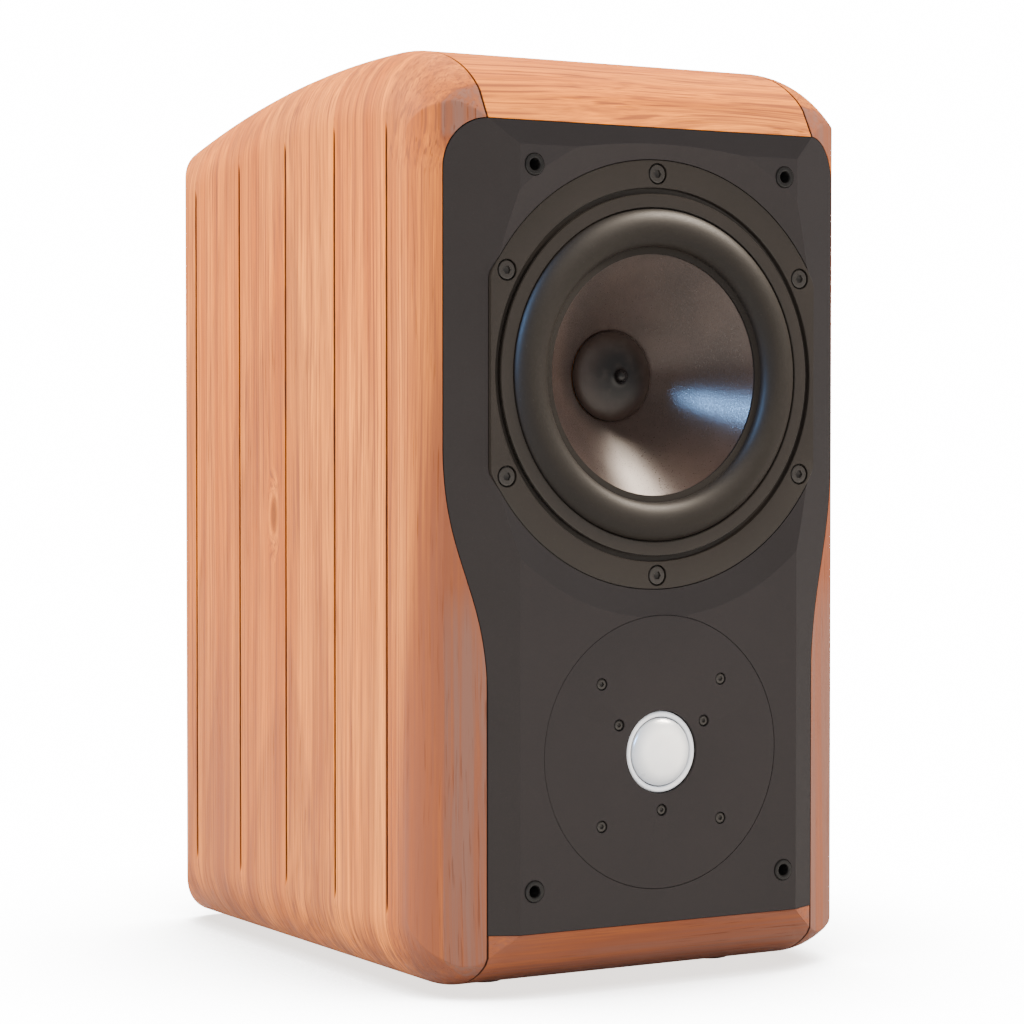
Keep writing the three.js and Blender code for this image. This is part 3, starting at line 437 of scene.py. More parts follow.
def make_walnut_group():
    """Walnut as a solid: growth rings round a pith that stands off the board, bent by slow noise, then bands
    of tone, fine fibre and short dark pores, all stretched along the grain, which runs along Z."""
    inputs = {"Place": None, "Seed": 0.0, "Ring width": 0.004, "Figure": 0.012, "Tone": 0.5}
    tree, source, sink = new_group("walnut figure", {**inputs, "Heartwood": 0.0, "Knot": 0.0})
    seed_x, seed_y, seed_z = (times(tree, source["Seed"], step) for step in (0.37, 0.71, 1.93))
    shift = node(tree, "CombineXYZ", {0: seed_x, 1: seed_y, 2: seed_z}).outputs[0]
    place = vector(tree, "ADD", source["Place"], shift)
    slow = noise(tree, vector(tree, "MULTIPLY", place, (14, 14, 2.6)), 1.0, 2.0, 0.45).outputs["Color"]
    sway = vector(tree, "SUBTRACT", slow, (0.5, 0.5, 0.5))
    sway = node(tree, "VectorMath", {0: sway, "Scale": source["Figure"]}, operation="SCALE").outputs[0]
    knot_push = node(tree, "CombineXYZ", {0: source["Knot"], 1: source["Knot"], 2: 0.0}).outputs[0]
    knot_push = vector(tree, "MULTIPLY", knot_push, (0.012, 0.012, 0))
    bent = vector(tree, "ADD", vector(tree, "ADD", place, sway), knot_push)
    flat = vector(tree, "MULTIPLY", bent, (1, 1, 0.02))
    pith = node(tree, "CombineXYZ", {0: plus(tree, seed_x, 0.05), 1: plus(tree, seed_y, 0.02)}).outputs[0]
    away = vector(tree, "LENGTH", vector(tree, "SUBTRACT", flat, pith))
    uneven = noise(tree, node(tree, "CombineXYZ", {0: away}).outputs[0], 90.0, 2.0).outputs["Fac"]
    rings = calc(tree, "DIVIDE", away, source["Ring width"])
    phase = calc(tree, "FRACT", plus(tree, rings, times(tree, uneven, 2.2)))
    late = node(tree, "ValToRGB", {0: phase})
    late.color_ramp.interpolation = "B_SPLINE"
    stops = late.color_ramp.elements
    stops[0].position, stops[0].color = 0.0, (0.1, 0.1, 0.1, 1)
    stops[1].position, stops[1].color = 1.0, (0.1, 0.1, 0.1, 1)
    for at, grey in ((0.55, 0.12), (0.86, 1.0), (0.95, 0.75)):
        stops.new(at).color = (grey, grey, grey, 1)
    ring = late.outputs[0]
    bands = noise(tree, vector(tree, "MULTIPLY", bent, (95, 95, 0.9)), 1.0, 3.0, 0.6).outputs["Fac"]
    bands = span(tree, bands, 0.36, 0.64)
    cloud = noise(tree, vector(tree, "MULTIPLY", place, (16, 16, 5)), 1.0, 2.0).outputs["Fac"]
    fibre = noise(tree, vector(tree, "MULTIPLY", bent, (480, 480, 6)), 1.0, 3.0, 0.62).outputs["Fac"]
    hair = noise(tree, vector(tree, "MULTIPLY", bent, (1900, 1900, 30)), 1.0, 2.0, 0.6).outputs["Fac"]
    pores = noise(tree, vector(tree, "MULTIPLY", bent, (1500, 1500, 34)), 1.0, 1.0, 0.5).outputs["Fac"]
    pores = span(tree, pores, 0.62, 0.72)
    pores = times(tree, pores, plus(tree, times(tree, ring, 0.7), 0.3))

    tan, amber, brown = (0.82, 0.225, 0.016, 1), (0.46, 0.107, 0.010, 1), (0.19, 0.058, 0.028, 1)
    plum, sap = (0.17, 0.086, 0.066, 1), (0.92, 0.36, 0.065, 1)
    colour = blend_colours(tree, bands, tan, amber)
    lighter = times(tree, span(tree, cloud, 0.35, 0.75), 0.55)
    colour = blend_colours(tree, times(tree, lighter, source["Tone"]), colour, sap)
    darker = times(tree, minus(tree, 1.0, source["Tone"]), 0.35)
    colour = blend_colours(tree, darker, colour, brown)
    colour = blend_colours(tree, times(tree, ring, 0.42), colour, brown)
    colour = blend_colours(tree, span(tree, fibre, 0.42, 0.74, 0.0, 0.6), colour, brown)
    colour = blend_colours(tree, span(tree, hair, 0.3, 0.7, 0.45, 0.0), colour, brown)
    lines = noise(tree, vector(tree, "MULTIPLY", bent, (800, 800, 3)), 1.0, 1.0, 0.5).outputs["Fac"]
    colour = blend_colours(tree, span(tree, lines, 0.53, 0.68, 0.0, 0.8), colour, brown)
    streak = noise(tree, vector(tree, "MULTIPLY", bent, (380, 380, 2.5)), 1.0, 3.0, 0.6).outputs["Fac"]
    warm = times(tree, span(tree, source["Heartwood"], 0.0, 0.6), span(tree, streak, 0.3, 0.6, 0.72, 1.0))
    colour = blend_colours(tree, warm, colour, brown)
    heart = times(tree, span(tree, source["Heartwood"], 0.5, 0.9), span(tree, streak, 0.4, 0.6, 0.35, 1.0))
    colour = blend_colours(tree, heart, colour, plum)
    colour = blend_colours(tree, times(tree, pores, 0.62), colour, (0.08, 0.02, 0.006, 1))
    knot_core = span(tree, source["Knot"], 0.45, 1.0, 0.0, 0.85)
    colour = blend_colours(tree, knot_core, colour, (0.16, 0.045, 0.014, 1))
    plug(tree, sink["Color"], colour)
    plug(tree, sink["Roughness"], span(tree, fibre, 0.2, 0.9, 0.4, 0.6))
    hollows = plus(tree, pores, times(tree, fibre, 0.3))
    relief = minus(tree, times(tree, hair, 0.25), hollows)
    plug(tree, sink["Height"], relief)
    return tree


walnut_group = make_walnut_group()


def painted_groove_shade(tree, place):
    """Mask of painted shade, which darkens where shadow falls: the grooves, within about a millimetre of a joint
    between staves and just below the cheek's upright face, and the dark seam between a cheek and a panel."""
    parts = node(tree, "SeparateXYZ", {0: place}).outputs
    staves = calc(tree, "DIVIDE", minus(tree, parts[1], float(front_y)), stave_pitch)
    from_line = minus(tree, calc(tree, "FRACT", plus(tree, staves, 0.5)), 0.5)
    off_line = calc(tree, "ABSOLUTE", from_line)
    beside = span(tree, off_line, (groove_half + 0.45 * mm) / stave_pitch, groove_half / stave_pitch)
    sunk = minus(tree, half_width, calc(tree, "ABSOLUTE", parts[0]))
    below = span(tree, sunk, 0.05 * mm, 0.5 * mm)
    above = span(tree, sunk, groove_deep + 0.6 * mm, groove_deep + 0.05 * mm)
    tilt = node(tree, "SeparateXYZ", {0: node(tree, "TexCoord").outputs["Normal"]}).outputs[2]
    upright = span(tree, calc(tree, "ABSOLUTE", tilt), 0.13, 0.07)
    sides = times(tree, times(tree, below, above), upright)
    groove = times(tree, beside, times(tree, sides, 0.96))
    # Painted shade in the gap of the seam beside each panel.
    from_seam = minus(tree, calc(tree, "ABSOLUTE", parts[0]), joint_x)
    off_seam = calc(tree, "ABSOLUTE", from_seam)
    return calc(tree, "MAXIMUM", groove, span(tree, off_seam, 0.62 * mm, 0.4 * mm, 0.0, 0.9))


def walnut(
    name, seed, tone, heart=None, knot=None, turn=(0, 0, 0), squeeze=(1, 1, 1), ring_width=0.004, figure=0.012
):
    """A walnut material. Squeeze draws the figure out along an axis, so that its lines run on over a
    shoulder. Heart is a function of the tree and the place that gives the dark heartwood's mask, and knot
    holds the middle and the reach of a knot."""
    material, tree, output = new_material(name)
    place = node(tree, "TexCoord").outputs["Object"]
    along = node(tree, "Mapping", {"Vector": place, "Rotation": turn, "Scale": squeeze}).outputs[0]
    figure_node = node(tree, "Group", node_tree=walnut_group)
    values = {"Place": along, "Seed": seed, "Ring width": ring_width, "Figure": figure, "Tone": tone}
    if heart:
        values["Heartwood"] = heart(tree, place)
    if knot:
        middle, reach = knot
        offset = vector(tree, "DIVIDE", vector(tree, "SUBTRACT", place, middle), reach)
        values["Knot"] = span(tree, vector(tree, "LENGTH", offset), 1.0, 0.0)
    for key, value in values.items():
        plug(tree, figure_node.inputs[key], value)
    looks = figure_node.outputs
    bump = node(tree, "Bump", {"Strength": 0.35, "Distance": 0.00025, "Height": looks["Height"]})
    # Painted shade: the grooves and the seams are darkened to this brown, standing for the shadow inside them.
    painted_groove_shadow = (0.022, 0.007, 0.004, 1)
    surface = node(tree, "BsdfPrincipled", {
        "Base Color": blend_colours(tree, painted_groove_shade(tree, place), looks["Color"], painted_groove_shadow),
        "Roughness": looks["Roughness"],
        "Specular IOR Level": 0.1,
        "Normal": bump.outputs[0],
    })
    plug(tree, output.inputs["Surface"], surface.outputs[0])
    return material


def front_heart(tree, place):
    """Brown wood behind the front edge, reaching further back towards the foot, with a ragged rim. On the
    bevel it turns to purple heartwood at the foot and over the baffle's corner."""
    parts = node(tree, "SeparateXYZ", {0: place}).outputs
    ragged = noise(tree, vector(tree, "MULTIPLY", place, (60, 60, 4)), 1.0, 3.0).outputs["Fac"]
    sway = times(tree, minus(tree, ragged, 0.5), 0.018)
    limit = span(tree, parts[2], 0.03, 0.33, -0.094, -0.124)
    depth = minus(tree, parts[1], plus(tree, limit, sway))
    brown = span(tree, depth, 0.012, -0.012, 0.0, 0.6)
    foot, head = span(tree, parts[2], 0.24, 0.15), span(tree, parts[2], 0.362, 0.372)
    bevel = span(tree, plus(tree, parts[1], times(tree, sway, 0.4)), -0.1215, -0.1245)
    purple = times(tree, calc(tree, "MAXIMUM", foot, head), bevel)
    shoulder, reach = (-95 * mm, -108 * mm, 392 * mm), (34 * mm, 30 * mm, 30 * mm)
    offset = vector(tree, "DIVIDE", vector(tree, "SUBTRACT", place, shoulder), reach)
    off_shoulder = plus(tree, vector(tree, "LENGTH", offset), times(tree, sway, 14.0))
    brown = calc(tree, "MAXIMUM", brown, span(tree, off_shoulder, 1.1, 0.5, 0.0, 0.2))
    return calc(tree, "MAXIMUM", brown, times(tree, purple, 0.8))


def lower_heart(tree, place):
    """A little darker wood towards the foot of a stave."""
    parts = node(tree, "SeparateXYZ", {0: place}).outputs
    ragged = noise(tree, vector(tree, "MULTIPLY", place, (40, 40, 3)), 1.0, 3.0).outputs["Fac"]
    return times(tree, span(tree, parts[2], 0.3, 0.02), span(tree, ragged, 0.4, 0.7, 0.0, 0.4))


stave_looks = {
    "left": ((3.1, 0.55), (5.7, 0.8), (8.2, 0.62), (11.9, 0.42), (14.3, 0.55), (17.8, 0.6)),
    "right": ((21.4, 0.6), (25.2, 0.5), (28.9, 0.7), (31.6, 0.55), (36.1, 0.75), (39.5, 0.5)),
}
stave_edges = np.concatenate([[front_y + 6.4 * mm], glue_lines, [rear_y]])
groove_steps = np.array([0, 0.25, 0.5, 0.7, 0.86, 0.95, 1.2, 1.7]) * mm


def make_stave(side, k):
    """One stave: the cheek's cross-sections between two glue lines, closer together beside the grooves."""
    y0, y1 = stave_edges[k], stave_edges[k + 1]
    inside = np.arange(y0 + 2.2 * mm, y1 - 2 * mm, 1.5 * mm)
    start = y0 + (groove_steps if k > 0 else groove_steps * 0.5)
    end = y1 - (groove_steps if k < 5 else groove_steps * 0.5)
    stations = [start, inside, end]
    if k == 0:
        stations.append(front_y + np.array([bevel_deep, bevel_deep + edge_round]))
    y = np.unique(np.round(np.concatenate(stations), 6))
    grid = cheek_sections(y)
    if side == "left":
        grid = grid * [-1, 1, 1]
    name = f"{side}_stave_{k + 1}"
    piece = solid(f"{name}_walnut", grid, angle=18)
    if k == 0:
        pocket = prism("pocket", outline(0.4 * mm), front_y - 10 * mm, pocket_floor)
        carve(piece, pocket, angle=18)
    seed, tone = stave_looks[side][k]
    knot = None
    if side == "left" and k == 3:
        knot = ((-half_width, 24 * mm, 205 * mm), (14 * mm, 9 * mm, 24 * mm))
    if side == "left" and k == 0:
        knot = ((-88 * mm, -104 * mm, 378 * mm), (32 * mm, 36 * mm, 36 * mm))
    heart = front_heart if k == 0 else lower_heart
    squeeze = (0.6 if k == 0 else 0.22, 1, 1)
    material = walnut(f"walnut {side} stave {k + 1}", seed, tone, heart, knot, squeeze=squeeze)
    finished(piece, "cabinet", "walnut", material, name)


for stave_side in ("left", "right"):
    for stave_number in range(6):
        make_stave(stave_side, stave_number)

# ---------------------------------------------------------------- top and bottom panels
# Walnut boards between the cheeks, grain running across. The top one rises from the baffle in a quarter
# ellipse; the bottom one is bevelled at the front, and its front corners follow the baffle's bevels.

panel_half = joint_x - seam
grain_across = (0, math.pi / 2, 0)


def eased(points, radius, closed=True, steps=4):
    """A polygon with each corner replaced by a small quadratic curve that starts and ends a radius away from
    it, or less where its neighbours are near. An open line keeps its two ends."""
    points = np.asarray(points, float)
    before, after = np.roll(points, 1, 0) - points, np.roll(points, -1, 0) - points
    both = []
    for arm in (before, after):
        length = np.linalg.norm(arm, axis=1, keepdims=True)
        both.append(arm / np.maximum(length, 1e-12) * np.minimum(radius, 0.42 * length))
    t = np.linspace(0, 1, steps)[None, :, None]
    corner = points[:, None]
    start, end = corner + both[0][:, None], corner + both[1][:, None]
    curve = (1 - t) ** 2 * start + 2 * t * (1 - t) * corner + t**2 * end
    if closed:
        return curve.reshape(-1, 2)
    return np.concatenate([points[:1], curve[1:-1].reshape(-1, 2), points[-1:]])


def carried_across(name, profiles, x):
    """Profiles in y and z, one for each x, joined into a body."""
    grid = np.stack([np.broadcast_to(x[:, None], profiles.shape[:2]), profiles[..., 0], profiles[..., 1]], -1)
    return solid(name, grid, angle=32)


def edge_stations():
    """Places across a panel, with extra ones close to its two ends for the eased edges."""
    ends = np.array([0, 0.08, 0.2, 0.36, 0.6]) * mm
    middle = np.linspace(-panel_half + 2 * mm, panel_half - 2 * mm, 24)
    return np.concatenate([-panel_half + ends, middle, panel_half - ends[::-1]])


def make_top_panel():
    """The profile from the baffle's top edge over the ellipse and the arch, then back along the ceiling."""
    start = front_y + 6.25 * mm
    y = start + (rear_y - start) * np.linspace(0, 1, 150) ** 1.6
    x = edge_stations()
    top = np.stack([y, top_height(y)], 1)
    ceiling, lintel = 372 * mm, baffle_top + 0.4 * mm
    under = np.array([
        [rear_y, ceiling], [pocket_floor, ceiling], [pocket_floor, lintel], [start + 0.1 * mm, lintel],
    ])
    profile = np.concatenate([top, under])
    fall = np.zeros((len(x), len(profile)))
    fall[:, : len(y)] = rim_fall(panel_half - np.abs(x))[:, None]
    profiles = np.repeat(profile[None], len(x), 0)
    profiles[..., 1] -= fall
    profiles[:, 0, 1] = np.maximum(profiles[:, 0, 1], lintel + 0.02 * mm)
    piece = carried_across("top_panel_walnut", profiles, x)
    material = walnut("walnut top panel", 44.7, 0.6, turn=grain_across, ring_width=0.006, figure=0.05)
    finished(piece, "cabinet", "walnut", material, "top_panel")


def dark_board(tree, place):
    """A darker board all over, in slow patches."""
    patch = noise(tree, vector(tree, "MULTIPLY", place, (5, 30, 30)), 1.0, 2.0).outputs["Fac"]
    return span(tree, patch, 0.3, 0.7, 0.45, 0.75)


def make_bottom_panel():
    """At each x the panel starts at the plan's bevel, so the front points move back with it. The underside
    follows the cabinet's lower bevel and ellipse, and the top is flat."""
    x = np.unique(np.concatenate([edge_stations(), [-flat_half, flat_half]]))
    front = front_y + 0.25 * mm + np.maximum(0, np.abs(x) - flat_half) * bevel_deep / (bevel_x - flat_half)
    share = np.linspace(0, 1, 110) ** 2
    y = front[:, None] + (rear_y - front[:, None]) * share[None, :]
    under = bottom_height(y) + rim_fall(panel_half - np.abs(x))[:, None]
    top_z = 28 * mm
    rear_top = np.stack([y[:, -1], np.full(len(x), top_z)], 1)
    front_top = np.stack([front, np.full(len(x), top_z + 0.02 * mm)], 1)
    top = np.stack([rear_top, front_top], 1)
    profiles = np.concatenate([np.stack([y, np.minimum(under, top_z)], -1), top], 1)
    piece = carried_across("bottom_panel_walnut", profiles, x)
    sizes = {"ring_width": 0.005, "figure": 0.02}
    material = walnut("walnut bottom panel", 52.3, 0.25, heart=dark_board, turn=grain_across, **sizes)
    finished(piece, "cabinet", "walnut", material, "bottom_panel")


make_top_panel()
make_bottom_panel()

# ---------------------------------------------------------------- front baffle
# A dense board in matte charcoal lacquer: flat in the middle, bevelled at both sides and at the top, with a
# dished recess round the woofer, a seat for the tweeter's plate and four holes for the grille's sockets.

woofer_z, tweeter_z = 268.5 * mm, 103.1 * mm
flange_radius = 94 * mm
dish_radius, dish_edge = flange_radius + 0.3 * mm, 106.4 * mm
woofer_face = front_y + 4 * mm
flange_flat = 84 * mm
plate_radius, plate_thick = 60 * mm, 4 * mm


def turned(name, profile, z, segments=160, x=0.0, flat=None, angle=28):
    """A profile of radius and depth turned about an axis along Y through (x, z): each point goes round a
    circle of its radius, which a flat cuts at both sides. A profile that ends on the axis closes in poles."""
    profile = np.asarray(profile, float)
    angle_round = np.linspace(0, 2 * math.pi, segments, endpoint=False)
    radius = np.repeat(profile[:, :1], segments, 1)
    if flat:
        radius = np.minimum(radius, flat / np.maximum(np.abs(np.cos(angle_round)), 1e-6)[None, :])
    depth = np.repeat(profile[:, 1:], segments, 1)
    grid = np.stack([x + radius * np.cos(angle_round), depth, z + radius * np.sin(angle_round)], -1)
    return solid(name, grid, wrap=profile[0, 0] > 1e-9, angle=angle)


def stepped(mouth, *steps):
    """The profile of a stepped bore or pin: each step is its radius and the depth where it ends."""
    points, y = [[0, mouth]], mouth
    for radius, end in steps:
        points += [[radius, y], [radius, end]]
        y = end
    return [*points, [0, y]]


def make_finish_group():
    """Sprayed or moulded dark surfaces: a slow mottling of tone, a fine stipple, and specks of dust."""
    inputs = {"Place": None, "Color": (0.05, 0.05, 0.05, 1), "Mottle": 0.1}
    tree, source, sink = new_group("fine stipple", {**inputs, "Grain size": 0.0005, "Roughness": 0.5})
    slow = noise(tree, source["Place"], 22.0, 3.0).outputs["Fac"]
    scale = calc(tree, "DIVIDE", 1.0, source["Grain size"])
    grain = noise(tree, source["Place"], scale, 2.0, 0.6).outputs["Fac"]
    specks = noise(tree, source["Place"], 1400.0, 1.0).outputs["Fac"]
    dust = span(tree, specks, 0.72, 0.8, 0.0, 0.16)
    tone = times(tree, minus(tree, slow, 0.5), source["Mottle"])
    fine = times(tree, minus(tree, grain, 0.5), times(tree, source["Mottle"], 1.2))
    tone = plus(tree, plus(tree, tone, 1.0), fine)
    grey = node(tree, "CombineXYZ", {0: tone, 1: tone, 2: tone}).outputs[0]
    shade = vector(tree, "MULTIPLY", source["Color"], grey)
    plug(tree, sink["Color"], blend_colours(tree, dust, shade, (0.07, 0.065, 0.06, 1)))
    rough = plus(tree, source["Roughness"], times(tree, minus(tree, slow, 0.5), 0.16))
    rough = plus(tree, rough, times(tree, minus(tree, grain, 0.5), 0.2))
    plug(tree, sink["Roughness"], rough)
    plug(tree, sink["Height"], grain)
    return tree


finish_group = make_finish_group()


def stippled(name, colour, roughness, mottle=0.25, grain=0.0005, relief=0.00004, metallic=0.0, specular=0.5):
    """A sprayed, cast or moulded surface from the stipple group."""
    material, tree, output = new_material(name)
    place = node(tree, "TexCoord").outputs["Object"]
    looks = node(tree, "Group", node_tree=finish_group)
    values = {"Place": place, "Color": (*colour, 1), "Mottle": mottle, "Grain size": grain}
    for key, value in {**values, "Roughness": roughness}.items():
        plug(tree, looks.inputs[key], value)
    bump = node(tree, "Bump", {"Strength": 0.5, "Distance": relief, "Height": looks.outputs["Height"]})
    surface = node(tree, "BsdfPrincipled", {
        "Base Color": looks.outputs["Color"],
        "Roughness": looks.outputs["Roughness"],
        "Metallic": metallic,
        "Specular IOR Level": specular,
        "Normal": bump.outputs[0],
    })
    plug(tree, output.inputs["Surface"], surface.outputs[0])
    return material


charcoal_grey = (0.0285, 0.0243, 0.0238)
charcoal = stippled("charcoal lacquer", charcoal_grey, 0.6, mottle=0.2, grain=0.0006, specular=0.12)
coat_grey = (0.0185, 0.0152, 0.0128)
frame_coat = stippled("matte cast coat", coat_grey, 0.5, mottle=0.3, grain=0.0004, specular=0.3)



def bolt_circle(radius, z, degrees):
    """Places in x and z on a circle round the axis at a height."""
    turn = np.radians(degrees)
    return np.stack([radius * np.cos(turn), z + radius * np.sin(turn)], 1)


woofer_bolts = bolt_circle(88 * mm, woofer_z, [90, 30, -30, -90, -150, 150])
tweeter_bolts = bolt_circle(43.8 * mm, tweeter_z, [135, 45, -45, -135])
inner_bolts = bolt_circle(25.5 * mm, tweeter_z, [150, 30, -90])
socket_places = {
    "top_left_socket": (-65 * mm, 357.5 * mm),
    "top_right_socket": (65 * mm, 357.5 * mm),
    "bottom_left_socket": (-65 * mm, 46.5 * mm),
    "bottom_right_socket": (65 * mm, 46.5 * mm),
}


def bisected(piece, *planes):
    """Cuts a body with planes, each given by a point and its outward normal, and closes the cuts."""
    form = bmesh.new()
    form.from_mesh(piece.data)
    for point, normal in planes:
        everything = form.verts[:] + form.edges[:] + form.faces[:]
        cut = bmesh.ops.bisect_plane(form, geom=everything, plane_co=point, plane_no=normal, clear_outer=True)
        rim = [e for e in cut["geom_cut"] if isinstance(e, bmesh.types.BMEdge)]
        bmesh.ops.edgeloop_fill(form, edges=rim)
    bmesh.ops.recalc_face_normals(form, faces=form.faces)
    form.to_mesh(piece.data)
    form.free()


def keep_from_above(piece):
    """Shades a lacquered piece from the three lamps above, so that its bevels stay as quiet as its face."""
    shaded_from_above.objects.link(piece)
    shaded_from_above.collection_objects[-1].light_linking.link_state = "EXCLUDE"


def make_baffle():
    """The outline carried to its thickness, cut by the front plane and the three bevels, then bored."""
    back = front_y + baffle_thick
    piece = prism("front_baffle_lacquered", outline(0), front_y - 2 * mm, back)
    side_normal = Vector((bevel_deep, -(bevel_x - flat_half), 0)).normalized()
    other_normal = Vector((-side_normal.x, side_normal.y, 0))
    top_normal = Vector((0, -top_bevel_slope, 1)).normalized()
    bisected(
        piece,
        ((0, front_y, 0), (0, -1, 0)),
        ((flat_half, front_y, 0), side_normal),
        ((-flat_half, front_y, 0), other_normal),
        ((0, front_y, baffle_top - top_bevel_drop), top_normal),
    )
    ahead = front_y - 3 * mm
    slope = [[dish_radius, woofer_face], [dish_edge, front_y], [dish_edge + 8 * mm, ahead]]
    dish = eased([[0, woofer_face], *slope, [0, ahead]], 0.7 * mm, closed=False)
    seat = stepped(ahead, (dish_radius, woofer_face + 5.3 * mm))
    hole = stepped(ahead, (78 * mm, back + 1 * mm))
    plate = stepped(ahead, (plate_radius + 0.2 * mm, front_y + plate_thick + 0.3 * mm), (37 * mm, back + 1 * mm))
    blind = stepped(ahead, (4.9 * mm, front_y + 12.3 * mm))
    cutters = [
        turned("dish", dish, woofer_z, 224),
        turned("seat", seat, woofer_z, 224, flat=flange_flat + 0.35 * mm),
        turned("hole", hole, woofer_z, 160),
        turned("plate_seat", plate, tweeter_z, 200),
    ]
    for x, z in socket_places.values():
        cutters.append(turned("bore", blind, z, 48, x=x))
    carve(piece, *cutters, angle=12)
    finished(piece, "cabinet", "charcoal_lacquer", charcoal, "front_baffle")
    keep_from_above(piece)


make_baffle()

# ---------------------------------------------------------------- grille sockets
# Black rubber bushes pressed into the baffle near its corners, a hair proud of its face, each with a blind
# hole for the grille's peg.

rubber = stippled("black rubber", (0.008, 0.0075, 0.0075), 0.45, mottle=0.3, grain=0.0003, specular=0.3)

for socket_name, (socket_x, socket_z) in socket_places.items():
    socket_front, socket_back = front_y - 0.6 * mm, front_y + 12 * mm
    bush_profile = stepped(socket_back, (4.6 * mm, socket_front), (2.6 * mm, socket_back - 2 * mm))
    bush_profile = eased(bush_profile, 0.7 * mm, closed=False, steps=6)
    bush = turned(f"{socket_name}_bush", bush_profile, socket_z, 64, x=socket_x)
    finished(bush, "cabinet", "rubber", rubber, socket_name)

# ---------------------------------------------------------------- woofer basket and trim ring
# A cast frame with a matte black coat: a flange with two flats, six counterbored screw holes, a sunk rim for
# the surround, and a cage with six windows behind. The trim ring clamps the surround's rim into it.

flange_back = woofer_face + 5 * mm
top_plate_y = front_y + 60 * mm


def rectangle(half_x, half_z):
    """A rectangle's four corners in x and z, listed round."""
    return np.array([[-1, -1], [1, -1], [1, 1], [-1, 1]]) * [half_x, half_z]


def make_basket():
    """The flange's and the cage's profile turned in one, then cut by the windows and the counterbores."""
    recess = woofer_face + 2.9 * mm
    profile = np.array([
        [flange_radius, flange_back], [flange_radius, woofer_face],
        [81.9 * mm, woofer_face], [81.9 * mm, recess],
        [74 * mm, recess], [74 * mm, flange_back + 8 * mm], [49 * mm, top_plate_y - 3 * mm],
        [27 * mm, top_plate_y - 3 * mm], [27 * mm, top_plate_y], [52 * mm, top_plate_y],
        [77 * mm, flange_back + 8 * mm], [77 * mm, flange_back],
    ])
    piece = turned("woofer_basket_cast", eased(profile, 0.5 * mm), woofer_z, 224, flat=flange_flat)
    cutters = []
    y0, y1 = flange_back + 14 * mm, top_plate_y - 10 * mm
    for k in range(3):
        bar = rectangle(90 * mm, 18 * mm)
        turn = math.radians(60 * k)
        spin = np.array([[math.cos(turn), math.sin(turn)], [-math.sin(turn), math.cos(turn)]])
        cutters.append(prism("window", bar @ spin + [0, woofer_z], y0, y1))
    counterbore, shank_hole = (4.75 * mm, woofer_face + 2.4 * mm), (2.3 * mm, flange_back + 1 * mm)
    for x, z in woofer_bolts:
        bore = stepped(woofer_face - 1 * mm, counterbore, shank_hole)
        cutters.append(turned("bore", bore, z, 48, x=x))
    carve(piece, *cutters)
    finished(piece, "cabinet", "cast_frame", frame_coat, "woofer_basket")


make_basket()

trim_front = woofer_face - 0.5 * mm
trim_back = trim_front + 1.8 * mm
trim_radius, clamped_radius = 73.3 * mm, 79.3 * mm
trim_profile = [
    [trim_radius, trim_front], [clamped_radius, trim_front],
    [clamped_radius, trim_back], [trim_radius, trim_back],
]
trim = turned("woofer_trim_ring_coated", eased(trim_profile, 0.6 * mm, steps=6), woofer_z, 224)
finished(trim, "cabinet", "cast_frame", frame_coat, "woofer_trim_ring")

# ---------------------------------------------------------------- woofer surround
# A half-roll of butyl rubber. Its rim is clamped in the basket and its inner lip is glued to the cone, so it
# gives between the two as the cone moves.

surround_y = trim_front + 2.1 * mm
roll_outer, roll_inner, lip_inner = 73 * mm, 56 * mm, 53 * mm
roll_tall, rubber_thick = 5.5 * mm, 1 * mm


def make_surround():
    """A half ellipse between the rim and the lip, with a thickness of one millimetre behind it."""
    half, middle = (roll_outer - roll_inner) / 2, (roll_outer + roll_inner) / 2
    angle = np.linspace(0, math.pi, 40)
    front = np.stack([middle + half * np.cos(angle), surround_y - roll_tall * np.sin(angle)], 1)
    behind = surround_y + rubber_thick
    under = behind - (roll_tall - 0.2 * mm) * np.sin(angle)
    rear = np.stack([middle + (half - rubber_thick) * np.cos(angle), under], 1)
    rim = [[clamped_radius, behind], [clamped_radius, surround_y]]
    lip = [[lip_inner, surround_y], [lip_inner, behind]]
    profile = np.concatenate([rim, front, lip, rear[::-1]])
    piece = turned("woofer_surround_rubber", profile, woofer_z, 224, angle=50)
    skin = {"mottle": 0.3, "grain": 0.0009, "relief": 0.00006, "specular": 0.14}
    piece.data.materials.append(stippled("butyl rubber", (0.0135, 0.011, 0.009), 0.5, **skin))
    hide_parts("woofer_surround")
    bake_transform(piece)
    flexes(piece)
    window_reflects_in.objects.link(piece)


def flexes(piece):
    """Reads the piece's points into an array; nothing is set from them."""
    points = np.empty(len(piece.data.vertices) * 3, np.float32)
    piece.data.vertices.foreach_get("co", points)
    points = points.reshape(-1, 3)


make_surround()

# ---------------------------------------------------------------- woofer cone and dust cap
# A brown polymer cone with fine turned rings, which draw a reflection out into a ray from its middle, and a
# smoked plastic cap glued over its neck, whose nearly black middle is a painted reflection.

cone_rim_y = surround_y + 1.3 * mm
cone_neck_y = front_y + 43 * mm
neck_radius = 20.5 * mm


def off_axis(tree, place, z):
    """Distance from the axis along Y at a height."""
    offset = vector(tree, "MULTIPLY", vector(tree, "SUBTRACT", place, (0, 0, z)), (1, 0, 1))
    return vector(tree, "LENGTH", offset)


